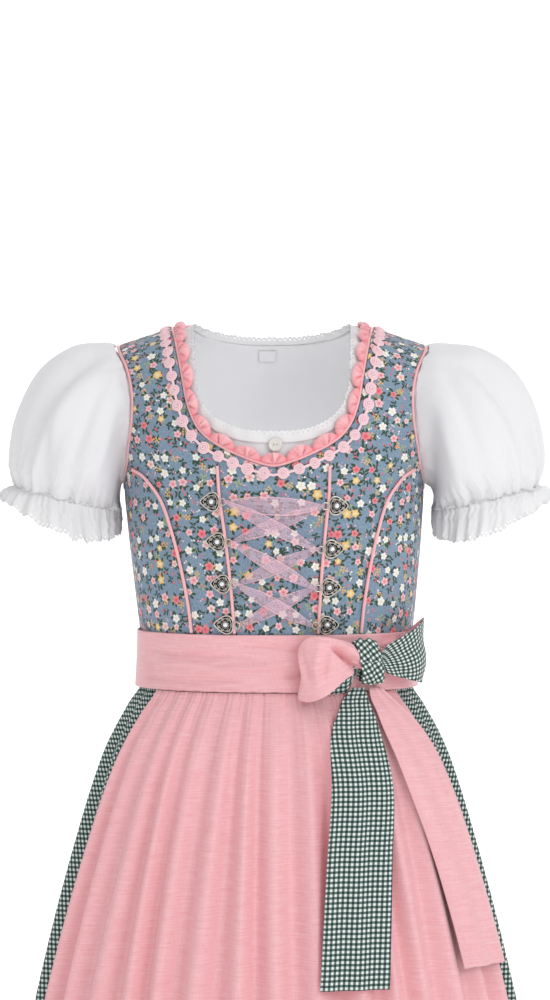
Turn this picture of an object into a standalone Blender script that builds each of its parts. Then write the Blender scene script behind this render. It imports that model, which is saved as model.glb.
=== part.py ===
import math

import bmesh
import bpy
from mathutils import Vector

for thing in list(bpy.data.objects):
    bpy.data.objects.remove(thing, do_unlink=True)

# Frame: +X to the right of the front view, -Y toward the viewer, +Z up, metres.
# The origin lies on the shoulder line, where the wearer holds the dress up.

CLOTH_WALL = 0.0015
THIN_WALL = 0.0012
SEAM_GAP = 0.0003
BLOUSE_DEPTH = 0.0046
SQUARENESS = 2.2
ROLL_HEIGHT = 0.030
ROLL_POWER = 0.6
ARMPIT_LEVEL = -0.119
WAIST_LEVEL = -0.262
BLOUSE_HEM_LEVEL = -0.215
TOP_LEAN = -0.0035

SHOULDER_HEIGHT = 0.0125
SHOULDER_SLOPE = 0.35
SHOULDER_SPREAD = 0.0941
SHOULDER_SOFTNESS = 0.035

# level, half width, front depth, back depth
TORSO = [
    (-0.2800, 0.1090, 0.0850, 0.0805),
    (-0.2620, 0.1090, 0.0848, 0.0803),
    (-0.2450, 0.1098, 0.0862, 0.0805),
    (-0.2320, 0.1120, 0.0885, 0.0812),
    (-0.1900, 0.1165, 0.0930, 0.0838),
    (-0.1500, 0.1205, 0.0980, 0.0880),
    (-0.1190, 0.1226, 0.1000, 0.0905),
    (-0.0900, 0.1275, 0.0970, 0.0900),
    (-0.0500, 0.1350, 0.0970, 0.0900),
    (-0.0200, 0.1420, 0.0970, 0.0900),
    (0.0000, 0.1470, 0.0970, 0.0900),
]

# half width, height of the dress neckline, then of the blouse and its lace edge
NECK_FRONT = [
    (0.0000, -0.0995),
    (0.0140, -0.0962),
    (0.0270, -0.0913),
    (0.0380, -0.0862),
    (0.0490, -0.0800),
    (0.0590, -0.0712),
    (0.0655, -0.0602),
    (0.0700, -0.0465),
    (0.0730, -0.0300),
    (0.0758, -0.0150),
    (0.0790, 0.0000),
    (0.0820, 0.0148),
]
NECK_BACK = [
    (0.0000, -0.0060),
    (0.0300, -0.0045),
    (0.0550, 0.0010),
    (0.0720, 0.0080),
    (0.0820, 0.0148),
]
BLOUSE_NECK_FRONT = [
    (0.0000, -0.0775),
    (0.0185, -0.0768),
    (0.0335, -0.0738),
    (0.0475, -0.0672),
    (0.0590, -0.0572),
    (0.0660, -0.0430),
    (0.0692, -0.0265),
    (0.0698, -0.0100),
    (0.0710, 0.0180),
]
BLOUSE_NECK_BACK = [
    (0.0000, 0.0037),
    (0.0220, 0.0042),
    (0.0450, 0.0080),
    (0.0600, 0.0125),
    (0.0710, 0.0180),
]
LACE_WIDTH = 0.0068
LACE_OVERLAP = -0.0004
LACE_LIFT = 0.0012
LACE_WALL = 0.0010
NECK_MIDDLE = Vector((TOP_LEAN, 0.0, -0.0100))
ARMHOLE_MIDDLE = (0.122, -0.060)

# height, half width of the seams
ARMHOLE_FRONT = [
    (-0.1190, 0.1226),
    (-0.1130, 0.1215),
    (-0.1060, 0.1200),
    (-0.0960, 0.1180),
    (-0.0830, 0.1158),
    (-0.0700, 0.1135),
    (-0.0500, 0.1118),
    (-0.0310, 0.1130),
    (-0.0170, 0.1172),
    (-0.0060, 0.1225),
    (0.0005, 0.1250),
]
ARMHOLE_BACK = [
    (-0.1190, 0.1226),
    (-0.1120, 0.1215),
    (-0.0980, 0.1195),
    (-0.0850, 0.1175),
    (-0.0700, 0.1160),
    (-0.0500, 0.1150),
    (-0.0310, 0.1160),
    (-0.0170, 0.1190),
    (-0.0060, 0.1230),
    (0.0005, 0.1250),
]
PRINCESS = [
    (-0.2620, 0.0655),
    (-0.2330, 0.0668),
    (-0.2100, 0.0692),
    (-0.1880, 0.0730),
    (-0.1673, 0.0770),
    (-0.1450, 0.0830),
    (-0.1228, 0.0910),
    (-0.1095, 0.1010),
    (-0.0975, 0.1178),
]
CENTRE_SEAM = [
    (-0.2620, 0.0315),
    (-0.2300, 0.0330),
    (-0.1930, 0.0355),
    (-0.1595, 0.0385),
    (-0.1250, 0.0427),
    (-0.0825, 0.0450),
]

# heights where the rows of a front panel meet the neck and the armhole
UPPER_ROWS = [
    (0.0030, -0.0055),
    (-0.0120, -0.0200),
    (-0.0300, -0.0370),
    (-0.0480, -0.0540),
    (-0.0640, -0.0700),
    (-0.0745, -0.0850),
]
LOWER_ROWS = [
    (-0.0825, -0.0975),
    (-0.0985, -0.1080),
    (-0.1230, -0.1260),
    (-0.1500, -0.1510),
    (-0.1790, -0.1790),
    (-0.2070, -0.2070),
    (-0.2310, -0.2310),
    (-0.2620, -0.2620),
]

# heights where the columns of a side panel meet the armhole
SIDE_TOP = [-0.1070, -0.1148]
SIDE_BLEND = 4

FRONT_COLUMNS = 4
SIDE_COLUMNS = 3
CENTRE_COLUMNS = 6
BACK_COLUMNS = 6
BLOUSE_COLUMNS = 6
ROW_CROWDING = 1.5

PIPING_RADIUS = 0.0013
PIPING_SIDES = 4
PRINCESS_START = 0.40
LACE_STEPS = 40

# spacing from the neckline edge, toward the opening
FRILL_REACH = 0.0069
FRILL_HALF_WIDTH = 0.0044
FRILL_HALF_HEIGHT = 0.0021
FRILL_LIFT = -0.0002
FRILL_PINCH = 0.62
FRILL_PUFFS = 28
FRILL_SIDES = 5
BRAID_REACH = -0.0068
BRAID_LIFT = 0.0023
BRAID_HALF_WIDTH = 0.0045
BRAID_HALF_HEIGHT = 0.0018
BRAID_PINCH = 0.40
BRAID_ROSES = 44
BRAID_SIDES = 4

HOOK_LEVELS_LEFT = [-0.1265, -0.1580, -0.1915, -0.2240]
HOOK_LEVELS_RIGHT = [-0.1297, -0.1637, -0.1945, -0.2243]
HEART_START = 0.0026
RING_SET_BACK = 0.0076
RING_OUTER = 0.0031
RING_HOLE = 0.0019
HEART_BOTTOM = 0.0008
RING_BOTTOM = 0.0033
HOOK_TOP = 0.0044
HEART_OUTLINE = [
    (0.0000, 0.0014),
    (-0.0004, 0.0044),
    (0.0016, 0.0070),
    (0.0050, 0.0073),
    (0.0090, 0.0050),
    (0.0145, 0.0000),
    (0.0090, -0.0050),
    (0.0050, -0.0073),
    (0.0016, -0.0070),
    (-0.0004, -0.0044),
    (0.0000, -0.0014),
]
RING_ANGLES = [27, 76, 126, 180, 234, 284, 333]

LACE_RIBBON_WALL = 0.0008
LACE_UPPER = 0.0056
LACE_LOWER = 0.0021
LACE_PINCH = 0.0013
LACE_HALF_WIDTH = 0.0082
LACE_SET_IN = 0.0036
LACE_TOP_SPAN = 3
LACE_ARCH = 0.0040
LACE_SWING = 0.42
LACE_SWING_SPAN = 0.16
LACE_TURN = 0.6
RING_BAR = 0.0006
# share of a span, half width share
LACE_SHAPE = [
    (0.00, 0.16),
    (0.12, 0.45),
    (0.30, 0.85),
    (0.50, 1.00),
    (0.70, 0.85),
    (0.88, 0.45),
    (1.00, 0.16),
]

# height, half width, front depth, back depth
BAND = [
    (-0.2780, 0.1160, 0.0920, 0.0875),
    (-0.2550, 0.1148, 0.0905, 0.0860),
    (-0.2325, 0.1142, 0.0907, 0.0835),
]
BAND_ROWS = [-0.2325, -0.2450, -0.2640, -0.2780]
BAND_STEPS = 36

# height, half width, front depth, back depth, fold depth
SKIRT = [
    (-0.7600, 0.2280, 0.1900, 0.1880, 0.0130),
    (-0.6200, 0.2040, 0.1700, 0.1660, 0.0120),
    (-0.5000, 0.1800, 0.1480, 0.1430, 0.0105),
    (-0.4000, 0.1560, 0.1260, 0.1210, 0.0085),
    (-0.3300, 0.1360, 0.1080, 0.1030, 0.0060),
    (-0.2950, 0.1200, 0.0950, 0.0900, 0.0035),
    (-0.2800, 0.1110, 0.0870, 0.0822, 0.0020),
    (-0.2700, 0.1092, 0.0852, 0.0806, 0.0013),
    (-0.2626, 0.1088, 0.0846, 0.0801, 0.0009),
]
SKIRT_ROWS = [-0.2626, -0.2800, -0.2980, -0.3500, -0.4600, -0.6000, -0.7600]
SKIRT_FOLDS = 32
APRON_FOLDS = 14
# height, half angle in degrees, fold depth
APRON = [
    (-0.7350, 60.0, 0.0080),
    (-0.6000, 59.0, 0.0070),
    (-0.4500, 57.5, 0.0055),
    (-0.3600, 56.0, 0.0040),
    (-0.3100, 55.0, 0.0024),
    (-0.2785, 54.0, 0.0010),
]
APRON_ROWS = [-0.2785, -0.2980, -0.3500, -0.4600, -0.6000, -0.7350]
APRON_CLEAR = 0.0008
FOLD_STEPS = 4
FOLD_VARIATION = 0.22
FOLD_REACH = 1.24
EDGE_FOLD = 0.25

KNOT_ANGLE = 35.0
KNOT_HEIGHT = -0.2540
KNOT_LIFT = 0.0078
KNOT_HALF_HEIGHT = 0.0185
KNOT_HALF_DEPTH = 0.0066
# half length along the band, size share
KNOT_SHAPE = [(-0.0100, 0.90), (-0.0040, 1.0), (0.0040, 1.0), (0.0100, 0.90)]
KNOT_STEPS = 12
# angle in degrees, lift off the band, height of the middle, half height of the ribbon
BOW_LEFT = [
    (33.8, 0.0117, -0.2540, 0.0045),
    (29.8, 0.0111, -0.2545, 0.0058),
    (27.0, 0.0140, -0.2550, 0.0130),
    (23.0, 0.0185, -0.2555, 0.0180),
    (16.0, 0.0215, -0.2565, 0.0235),
    (10.0, 0.0180, -0.2570, 0.0265),
    (7.0, 0.0110, -0.2570, 0.0275),
    (10.0, 0.0054, -0.2570, 0.0265),
    (16.0, 0.0029, -0.2565, 0.0235),
    (23.0, 0.0026, -0.2555, 0.0180),
    (27.0, 0.0032, -0.2550, 0.0130),
    (29.8, 0.0049, -0.2545, 0.0058),
    (33.8, 0.0041, -0.2540, 0.0045),
]
BOW_RIGHT = [
    (36.2, 0.0117, -0.2535, 0.0045),
    (40.2, 0.0111, -0.2530, 0.0058),
    (43.0, 0.0138, -0.2522, 0.0115),
    (48.0, 0.0180, -0.2510, 0.0160),
    (56.0, 0.0205, -0.2495, 0.0205),
    (64.0, 0.0172, -0.2480, 0.0240),
    (68.5, 0.0108, -0.2470, 0.0255),
    (64.0, 0.0046, -0.2480, 0.0240),
    (56.0, 0.0022, -0.2495, 0.0205),
    (48.0, 0.0022, -0.2510, 0.0160),
    (43.0, 0.0032, -0.2522, 0.0115),
    (40.2, 0.0049, -0.2530, 0.0058),
    (36.2, 0.0041, -0.2535, 0.0045),
]
BOW_WALL = 0.0010
BOW_SWELL = 0.0012
# height of the middle, angle in degrees, half width, extra lift
TAIL_LEFT = [
    (-0.2745, 31.0, 0.0060, 0.0045),
    (-0.2860, 28.5, 0.0120, 0.0026),
    (-0.3100, 25.0, 0.0200, 0.0014),
    (-0.3500, 23.5, 0.0235, 0.0011),
    (-0.4000, 20.0, 0.0235, 0.0012),
    (-0.4500, 17.5, 0.0235, 0.0011),
    (-0.5000, 15.5, 0.0235, 0.0012),
]
TAIL_RIGHT = [
    (-0.2745, 39.0, 0.0060, 0.0045),
    (-0.2860, 42.0, 0.0120, 0.0026),
    (-0.3080, 45.0, 0.0200, 0.0014),
    (-0.3480, 47.5, 0.0235, 0.0011),
    (-0.3960, 49.5, 0.0235, 0.0012),
    (-0.4430, 50.5, 0.0235, 0.0011),
    (-0.4900, 51.0, 0.0235, 0.0012),
]
TAIL_COLUMNS = 3
COVER_START = -0.2720

# sleeve rings at the armhole: lift off the bodice, distance in from the armhole edge
SLEEVE_START = [(-0.0050, 0.0034), (-0.0008, 0.0052), (0.0028, 0.0046)]
# sleeve stations from armhole to elastic: share of the armhole kept, then guides
# outer x z, inner x z, front x y z, back x y z
SLEEVE = [
    (0.90, 0.1430, 0.0025, 0.1278, -0.1175, 0.1260, -0.0590, -0.0540, 0.1260, 0.0570, -0.0540),
    (0.40, 0.1680, -0.0020, 0.1292, -0.1225, 0.1390, -0.0680, -0.0650, 0.1390, 0.0660, -0.0650),
    (0.12, 0.1950, -0.0220, 0.1292, -0.1265, 0.1510, -0.0705, -0.0800, 0.1510, 0.0685, -0.0800),
    (0.03, 0.2130, -0.0560, 0.1288, -0.1300, 0.1610, -0.0675, -0.0980, 0.1610, 0.0655, -0.0980),
    (0.00, 0.2190, -0.0930, 0.1282, -0.1325, 0.1670, -0.0570, -0.1140, 0.1670, 0.0550, -0.1140),
    (0.00, 0.2125, -0.1160, 0.1276, -0.1350, 0.1697, -0.0430, -0.1262, 0.1697, 0.0425, -0.1262),
]
CUFF_FRILL = [
    (0.00, 0.2128, -0.1165, 0.1277, -0.1356, 0.1697, -0.0433, -0.1268, 0.1697, 0.0428, -0.1268),
    (0.00, 0.2200, -0.1175, 0.1280, -0.1450, 0.1685, -0.0505, -0.1400, 0.1685, 0.0495, -0.1385),
    (0.00, 0.2275, -0.1235, 0.1300, -0.1555, 0.1655, -0.0575, -0.1560, 0.1655, 0.0555, -0.1520),
]
SLEEVE_STEPS = 32
SLEEVE_GATHER = [0.0002, 0.0004, 0.0006, 0.0009, 0.0012, 0.0010]
FRILL_GATHER = [0.0010, 0.0016, 0.0024]

BUTTON_SPOT = (0.0015, -0.0813)
BUTTON_RADIUS = 0.0056
BUTTON_THICKNESS = 0.0018
BUTTON_LIFT = 0.0026
LABEL_SPOT = (-0.0045, -0.0045)
LABEL_HALF = (0.0078, 0.0050)
LABEL_WALL = 0.0006
LABEL_CLEAR = 0.0015

MATERIALS = {
    "print": ((0.16, 0.23, 0.31, 1.0), 0.85, 0.0),
    "gingham": ((0.05, 0.16, 0.10, 1.0), 0.85, 0.0),
    "pink": ((0.80, 0.22, 0.26, 1.0), 0.50, 0.0),
    "satin": ((0.82, 0.28, 0.32, 1.0), 0.35, 0.0),
    "rose": ((0.84, 0.45, 0.52, 1.0), 0.55, 0.0),
    "sheer": ((0.74, 0.38, 0.50, 1.0), 0.45, 0.0),
    "white": ((0.84, 0.84, 0.86, 1.0), 0.85, 0.0),
    "silver": ((0.30, 0.29, 0.27, 1.0), 0.35, 0.9),
    "pearl": ((0.82, 0.80, 0.78, 1.0), 0.25, 0.0),
}


def row_at(table, key):
    last = len(table) - 1
    if key <= table[0][0]:
        return table[0][1:]
    if key >= table[last][0]:
        return table[last][1:]
    k = 0
    while key > table[k + 1][0]:
        k += 1
    low = table[k]
    high = table[k + 1]
    before = table[max(k - 1, 0)]
    after = table[min(k + 2, last)]
    span = high[0] - low[0]
    t = (key - low[0]) / span
    values = []
    for n in range(1, len(low)):
        slope_low = (high[n] - before[n]) / (high[0] - before[0]) * span
        slope_high = (after[n] - low[n]) / (after[0] - low[0]) * span
        value = low[n] * (2 * t ** 3 - 3 * t ** 2 + 1)
        value += slope_low * (t ** 3 - 2 * t ** 2 + t)
        value += high[n] * (3 * t ** 2 - 2 * t ** 3)
        value += slope_high * (t ** 3 - t ** 2)
        values.append(value)
    return values


def flipped(table):
    return [(row[1], row[0]) for row in table]


def shoulder_height(x):
    return SHOULDER_HEIGHT - SHOULDER_SLOPE * (math.hypot(x, SHOULDER_SOFTNESS) - SHOULDER_SPREAD)


def smooth_step(t):
    t = min(max(t, 0.0), 1.0)
    return t * t * (3 - 2 * t)


def signed_power(value, power):
    return math.copysign(abs(value) ** power, value)


def torso_point(angle, level):
    level = min(level, 0.0)
    half, front, back = row_at(TORSO, level)
    power = 2 / SQUARENESS
    x = half * signed_power(math.sin(angle), power)
    depth = front if math.cos(angle) >= 0 else back
    roll = (1 - math.exp(level / ROLL_HEIGHT)) ** ROLL_POWER
    y = -depth * roll * signed_power(math.cos(angle), power)
    share = smooth_step(1 - level / ARMPIT_LEVEL)
    z = level + shoulder_height(x) * share
    lean = TOP_LEAN * smooth_step((level - WAIST_LEVEL) / -WAIST_LEVEL)
    return Vector((x + lean, y, z))


def torso_frame(angle, level):
    small = 0.0002
    high = min(level + small, -0.000001)
    along = torso_point(angle + small, level) - torso_point(angle - small, level)
    upward = torso_point(angle, high) - torso_point(angle, high - 2 * small)
    normal = along.cross(upward).normalized()
    return along / (2 * small), upward / (2 * small), normal


def torso_skin(angle, level, out):
    return torso_point(angle, level) + torso_frame(angle, level)[2] * out


def torso_place(x, z, front=True):
    level = z
    for _ in range(60):
        share = smooth_step(1 - level / ARMPIT_LEVEL)
        level += 0.7 * (z - level - shoulder_height(x) * share)
        level = min(level, 0.0)
    half = row_at(TORSO, level)[0]
    sine = min(abs(x) / half, 1.0) ** (SQUARENESS / 2)
    angle = math.copysign(math.asin(sine), x)
    if not front:
        angle = math.copysign(math.pi, x) - angle
    return angle, level


def on_torso(x, z, out):
    angle, level = torso_place(x, z)
    return torso_skin(angle, level, out)


def slide(place, step):
    angle, level = place
    for _ in range(2):
        along, upward, normal = torso_frame(angle, level)
        a = along.dot(along)
        b = along.dot(upward)
        c = upward.dot(upward)
        p = along.dot(step) / 2
        q = upward.dot(step) / 2
        det = a * c - b * b
        angle += (p * c - q * b) / det
        level += (a * q - b * p) / det
        level = min(level, 0.0)
    return angle, level


def material(kind):
    found = bpy.data.materials.get(kind)
    if found:
        return found
    colour, roughness, metallic = MATERIALS[kind]
    made = bpy.data.materials.new(kind)
    made.use_nodes = True
    shader = made.node_tree.nodes["Principled BSDF"]
    shader.inputs["Base Color"].default_value = colour
    shader.inputs["Roughness"].default_value = roughness
    shader.inputs["Metallic"].default_value = metallic
    return made


def add_node(name, points, faces, kind, smooth=True):
    mesh = bpy.data.meshes.new(name)
    mesh.from_pydata([tuple(point) for point in points], [], faces)
    mesh.validate()
    shell = bmesh.new()
    shell.from_mesh(mesh)
    bmesh.ops.recalc_face_normals(shell, faces=shell.faces)
    shell.to_mesh(mesh)
    shell.free()
    mesh.materials.append(material(kind))
    for polygon in mesh.polygons:
        polygon.use_smooth = smooth
    node = bpy.data.objects.new(name, mesh)
    bpy.context.scene.collection.objects.link(node)
    return node


def add_wall(name, outer, inner, kind, closed=False):
    rows = len(outer)
    columns = len(outer[0])
    points = [point for row in outer for point in row]
    points += [point for row in inner for point in row]
    lift = rows * columns
    faces = []
    steps = columns if closed else columns - 1
    for i in range(rows - 1):
        for j in range(steps):
            k = (j + 1) % columns
            a = i * columns + j
            b = i * columns + k
            c = (i + 1) * columns + k
            d = (i + 1) * columns + j
            faces.append((a, d, c, b))
            faces.append((a + lift, b + lift, c + lift, d + lift))
    for j in range(steps):
        k = (j + 1) % columns
        faces.append((j, k, k + lift, j + lift))
        end = (rows - 1) * columns
        faces.append((end + k, end + j, end + j + lift, end + k + lift))
    if not closed:
        for i in range(rows - 1):
            a = i * columns
            b = (i + 1) * columns
            faces.append((b, a, a + lift, b + lift))
            a += columns - 1
            b += columns - 1
            faces.append((a, b, b + lift, a + lift))
    return add_node(name, points, faces, kind)


def trim_edges(outer, inner, gap, sides):
    rows = len(outer)
    columns = len(outer[0])
    edges = []
    if "top" in sides:
        edges += [((0, j), (1, j)) for j in range(columns)]
    if "bottom" in sides:
        edges += [((rows - 1, j), (rows - 2, j)) for j in range(columns)]
    if "left" in sides:
        edges += [((i, 0), (i, 1)) for i in range(rows)]
    if "right" in sides:
        edges += [((i, columns - 1), (i, columns - 2)) for i in range(rows)]
    moves = []
    for edge, near in edges:
        step = outer[near[0]][near[1]] - outer[edge[0]][edge[1]]
        moves.append((edge, step.normalized() * gap))
    for edge, step in moves:
        outer[edge[0]][edge[1]] = outer[edge[0]][edge[1]] + step
        inner[edge[0]][edge[1]] = inner[edge[0]][edge[1]] + step


def between(start, end, share):
    return start[0] + (end[0] - start[0]) * share, start[1] + (end[1] - start[1]) * share


def ruled(left, right, columns):
    rows = []
    for start, end in zip(left, right):
        rows.append([between(start, end, j / columns) for j in range(columns + 1)])
    return rows


def torso_panel(name, places, out, wall, kind, sides):
    outer = []
    inner = []
    for row in places:
        outer.append([torso_skin(angle, level, out) for angle, level in row])
        inner.append([torso_skin(angle, level, out - wall) for angle, level in row])
    trim_edges(outer, inner, SEAM_GAP / 2, sides)
    return add_wall(name, outer, inner, kind)


def mesh_normals(grid, closed):
    rows = len(grid)
    columns = len(grid[0])
    normals = []
    for i in range(rows):
        row = []
        for j in range(columns):
            if closed:
                before = grid[i][(j - 1) % columns]
                after = grid[i][(j + 1) % columns]
            else:
                before = grid[i][max(j - 1, 0)]
                after = grid[i][min(j + 1, columns - 1)]
            above = grid[max(i - 1, 0)][j]
            below = grid[min(i + 1, rows - 1)][j]
            row.append((after - before).cross(above - below).normalized())
        normals.append(row)
    return normals


def thick_wall(name, grid, wall, kind, closed=False, inward=1):
    normals = mesh_normals(grid, closed)
    inner = []
    for row, normal_row in zip(grid, normals):
        inner.append([point - normal * wall * inward for point, normal in zip(row, normal_row)])
    return add_wall(name, grid, inner, kind, closed)


def add_tube(name, centres, radial, kind, closed=False):
    count = len(centres)
    sides = len(radial[0])
    points = []
    for centre, ring in zip(centres, radial):
        for offset in ring:
            points.append(centre + offset)
    faces = []
    steps = count if closed else count - 1
    for i in range(steps):
        n = (i + 1) % count
        for j in range(sides):
            k = (j + 1) % sides
            faces.append((i * sides + j, i * sides + k, n * sides + k, n * sides + j))
    if not closed:
        faces.append(tuple(range(sides - 1, -1, -1)))
        faces.append(tuple(range((count - 1) * sides, count * sides)))
    return add_node(name, points, faces, kind)


def round_ring(side, normal, half_width, half_height, sides, turn=0.0):
    ring = []
    for n in range(sides):
        angle = turn + 2 * math.pi * n / sides
        ring.append(side * half_width * math.cos(angle) + normal * half_height * math.sin(angle))
    return ring


def dense_path(places, steps):
    points = [torso_point(angle, level) for angle, level in places]
    lengths = [0.0]
    for a, b in zip(points, points[1:]):
        lengths.append(lengths[-1] + (b - a).length)
    result = []
    k = 0
    for n in range(steps):
        target = lengths[-1] * n / steps
        while k < len(lengths) - 2 and lengths[k + 1] < target:
            k += 1
        share = (target - lengths[k]) / (lengths[k + 1] - lengths[k])
        a = places[k]
        b = places[k + 1]
        result.append((a[0] + (b[0] - a[0]) * share, a[1] + (b[1] - a[1]) * share))
    return result


def loop_frames(places, closed):
    frames = []
    count = len(places)
    points = [torso_point(angle, level) for angle, level in places]
    for n in range(count):
        if closed:
            step = points[(n + 1) % count] - points[(n - 1) % count]
        else:
            step = points[min(n + 1, count - 1)] - points[max(n - 1, 0)]
        normal = torso_frame(*places[n])[2]
        along = step - normal * step.dot(normal)
        along.normalize()
        frames.append((points[n], normal.cross(along), normal))
    return frames


def front_back_loop(front, back, side, fine):
    places = []
    widths = [row[0] for row in front]
    for n in range(fine):
        width = widths[0] + (widths[-1] - widths[0]) * n / fine
        height = row_at(front, width)[0]
        places.append(torso_place(side * width, height))
    top = torso_place(side * widths[-1], 1.0)[0]
    places.append((top, 0.0))
    places.append((side * math.pi - top, 0.0))
    for n in range(fine - 1, -1, -1):
        width = widths[0] + (widths[-1] - widths[0]) * n / fine
        height = row_at(back, width)[0]
        if width == 0:
            places.append((side * math.pi, torso_place(0.0, height)[1]))
        else:
            places.append(torso_place(side * width, height, False))
    return places


def neck_loop(front, back, steps, fine=40):
    right = front_back_loop(front, back, 1, fine)
    left = []
    for angle, level in reversed(right[:-1]):
        left.append((2 * math.pi - angle, level))
    return dense_path(right + left, steps)


def armhole_places(side, table, front, heights):
    places = []
    for height in heights:
        width = row_at(table, height)[0]
        if height <= ARMPIT_LEVEL:
            places.append((side * math.pi / 2, ARMPIT_LEVEL))
        else:
            places.append(torso_place(side * width, height, front))
    return places


def shoulder_tip(side):
    return torso_place(side * ARMHOLE_FRONT[-1][1], 1.0)[0], 0.0


def armhole_loop(side, steps, fine=30):
    heights = [ARMPIT_LEVEL + (-0.002 - ARMPIT_LEVEL) * n / fine for n in range(fine + 1)]
    front = armhole_places(side, ARMHOLE_FRONT, True, heights[:0:-1])
    back = armhole_places(side, ARMHOLE_BACK, False, heights[1:])
    tip = shoulder_tip(side)
    back_tip = (side * math.pi - tip[0], 0.0)
    places = [tip] + front + [(side * math.pi / 2, ARMPIT_LEVEL)] + back + [back_tip]
    return dense_path(places, steps)


def bodice_front(side, tag):
    left = [(torso_place(side * NECK_FRONT[-1][0], 1.0)[0], 0.0)]
    right = [shoulder_tip(side)]
    neck = flipped(NECK_FRONT)
    for neck_height, arm_height in UPPER_ROWS:
        left.append(torso_place(side * row_at(neck, neck_height)[0], neck_height))
        right.append(torso_place(side * row_at(ARMHOLE_FRONT, arm_height)[0], arm_height))
    for seam_height, princess_height in LOWER_ROWS:
        left.append(torso_place(side * row_at(CENTRE_SEAM, seam_height)[0], seam_height))
        right.append(torso_place(side * row_at(PRINCESS, princess_height)[0], princess_height))
    places = ruled(left, right, FRONT_COLUMNS)
    torso_panel("bodice_front_" + tag, places, 0.0, CLOTH_WALL, "print", "top left right")
    return left, right


def bodice_side(side, tag, princess):
    seam = []
    for n in range(len(princess)):
        share = n / (len(princess) - 1)
        seam.append((side * math.pi / 2, ARMPIT_LEVEL + (WAIST_LEVEL - ARMPIT_LEVEL) * share))
    places = ruled(princess, seam, SIDE_COLUMNS)
    for j, height in enumerate(SIDE_TOP):
        top = torso_place(side * row_at(ARMHOLE_FRONT, height)[0], height)
        shift = (top[0] - places[0][j + 1][0], top[1] - places[0][j + 1][1])
        for i in range(SIDE_BLEND):
            share = 1 - i / SIDE_BLEND
            place = places[i][j + 1]
            places[i][j + 1] = (place[0] + shift[0] * share, place[1] + shift[1] * share)
    torso_panel("bodice_side_" + tag, places, 0.0, CLOTH_WALL, "print", "left right")
    return places[0][1:]


def bodice_centre():
    outer = []
    inner = []
    top = []
    top_height = LOWER_ROWS[0][0]
    for heights in LOWER_ROWS:
        seam_height = heights[0]
        share = (seam_height - top_height) / (WAIST_LEVEL - top_height)
        half = row_at(CENTRE_SEAM, seam_height)[0]
        top_half = row_at(CENTRE_SEAM, top_height)[0]
        outer_row = []
        inner_row = []
        for j in range(CENTRE_COLUMNS + 1):
            across = 2 * j / CENTRE_COLUMNS - 1
            neck_height = row_at(NECK_FRONT, abs(across) * top_half)[0]
            if abs(across) == 1:
                neck_height = top_height
            height = neck_height + (WAIST_LEVEL - neck_height) * share
            place = torso_place(across * half, height)
            if share == 0:
                top.append(place)
            outer_row.append(torso_skin(place[0], place[1], 0.0))
            inner_row.append(torso_skin(place[0], place[1], -CLOTH_WALL))
        outer.append(outer_row)
        inner.append(inner_row)
    trim_edges(outer, inner, SEAM_GAP / 2, "left right")
    add_wall("bodice_centre_front", outer, inner, "print")
    return top


def back_edges(side, neck, waist, neck_points, back_heights):
    inner_edge = [(torso_place(side * neck[-1][0], 1.0)[0], 0.0)]
    for share in neck_points:
        width = neck[-1][0] * share
        place = torso_place(side * width, row_at(neck, width)[0], False)
        if width == 0:
            place = (side * math.pi, place[1])
        inner_edge.append(place)
    start = inner_edge[-1][1]
    lower = len(back_heights) - len(neck_points)
    for n in range(1, lower + 1):
        inner_edge.append((side * math.pi, start + (waist - start) * (n / lower) ** ROW_CROWDING))
    outer_edge = [shoulder_tip(side)]
    for height in back_heights:
        if height > ARMPIT_LEVEL:
            width = row_at(ARMHOLE_BACK, height)[0]
            outer_edge.append(torso_place(side * width, height, False))
        else:
            outer_edge.append((side * math.pi / 2, height))
    return inner_edge, outer_edge


NECK_POINTS = [0.80, 0.55, 0.28, 0.0]
BLOUSE_NECK_SHARES = [0.985, 0.960, 0.85, 0.62, 0.32, 0.0]
ARMHOLE_HEIGHTS = [-0.0055, -0.0250, -0.0500, -0.0750, -0.0970, -0.1120, -0.1190]
BACK_HEIGHTS = ARMHOLE_HEIGHTS + [-0.1430, -0.1700, -0.2000, -0.2300, -0.2620]
BLOUSE_HEIGHTS = ARMHOLE_HEIGHTS + [-0.1450, -0.1780, -0.2150]


def bodice_back(side, tag):
    centre, outer_edge = back_edges(side, NECK_BACK, WAIST_LEVEL, NECK_POINTS, BACK_HEIGHTS)
    places = ruled(centre, outer_edge, BACK_COLUMNS)
    torso_panel("bodice_back_" + tag, places, 0.0, CLOTH_WALL, "print", "top left right")
    return centre, outer_edge


def blouse_front(side, tag):
    left = [(torso_place(side * BLOUSE_NECK_FRONT[-1][0], 1.0)[0], 0.0)]
    for share in BLOUSE_NECK_SHARES:
        width = BLOUSE_NECK_FRONT[-1][0] * share
        left.append(torso_place(side * width, row_at(BLOUSE_NECK_FRONT, width)[0]))
    start = left[-1][1]
    lower = len(BLOUSE_HEIGHTS) - len(BLOUSE_NECK_SHARES)
    for n in range(1, lower + 1):
        left.append((0.0, start + (BLOUSE_HEM_LEVEL - start) * n / lower))
    right = [shoulder_tip(side)]
    for height in BLOUSE_HEIGHTS:
        if height > ARMPIT_LEVEL:
            width = row_at(ARMHOLE_FRONT, height)[0]
            right.append(torso_place(side * width, height))
        else:
            right.append((side * math.pi / 2, height))
    places = ruled(left, right, BLOUSE_COLUMNS)
    torso_panel("blouse_front_" + tag, places, -BLOUSE_DEPTH, THIN_WALL, "white", "top left right")


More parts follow.
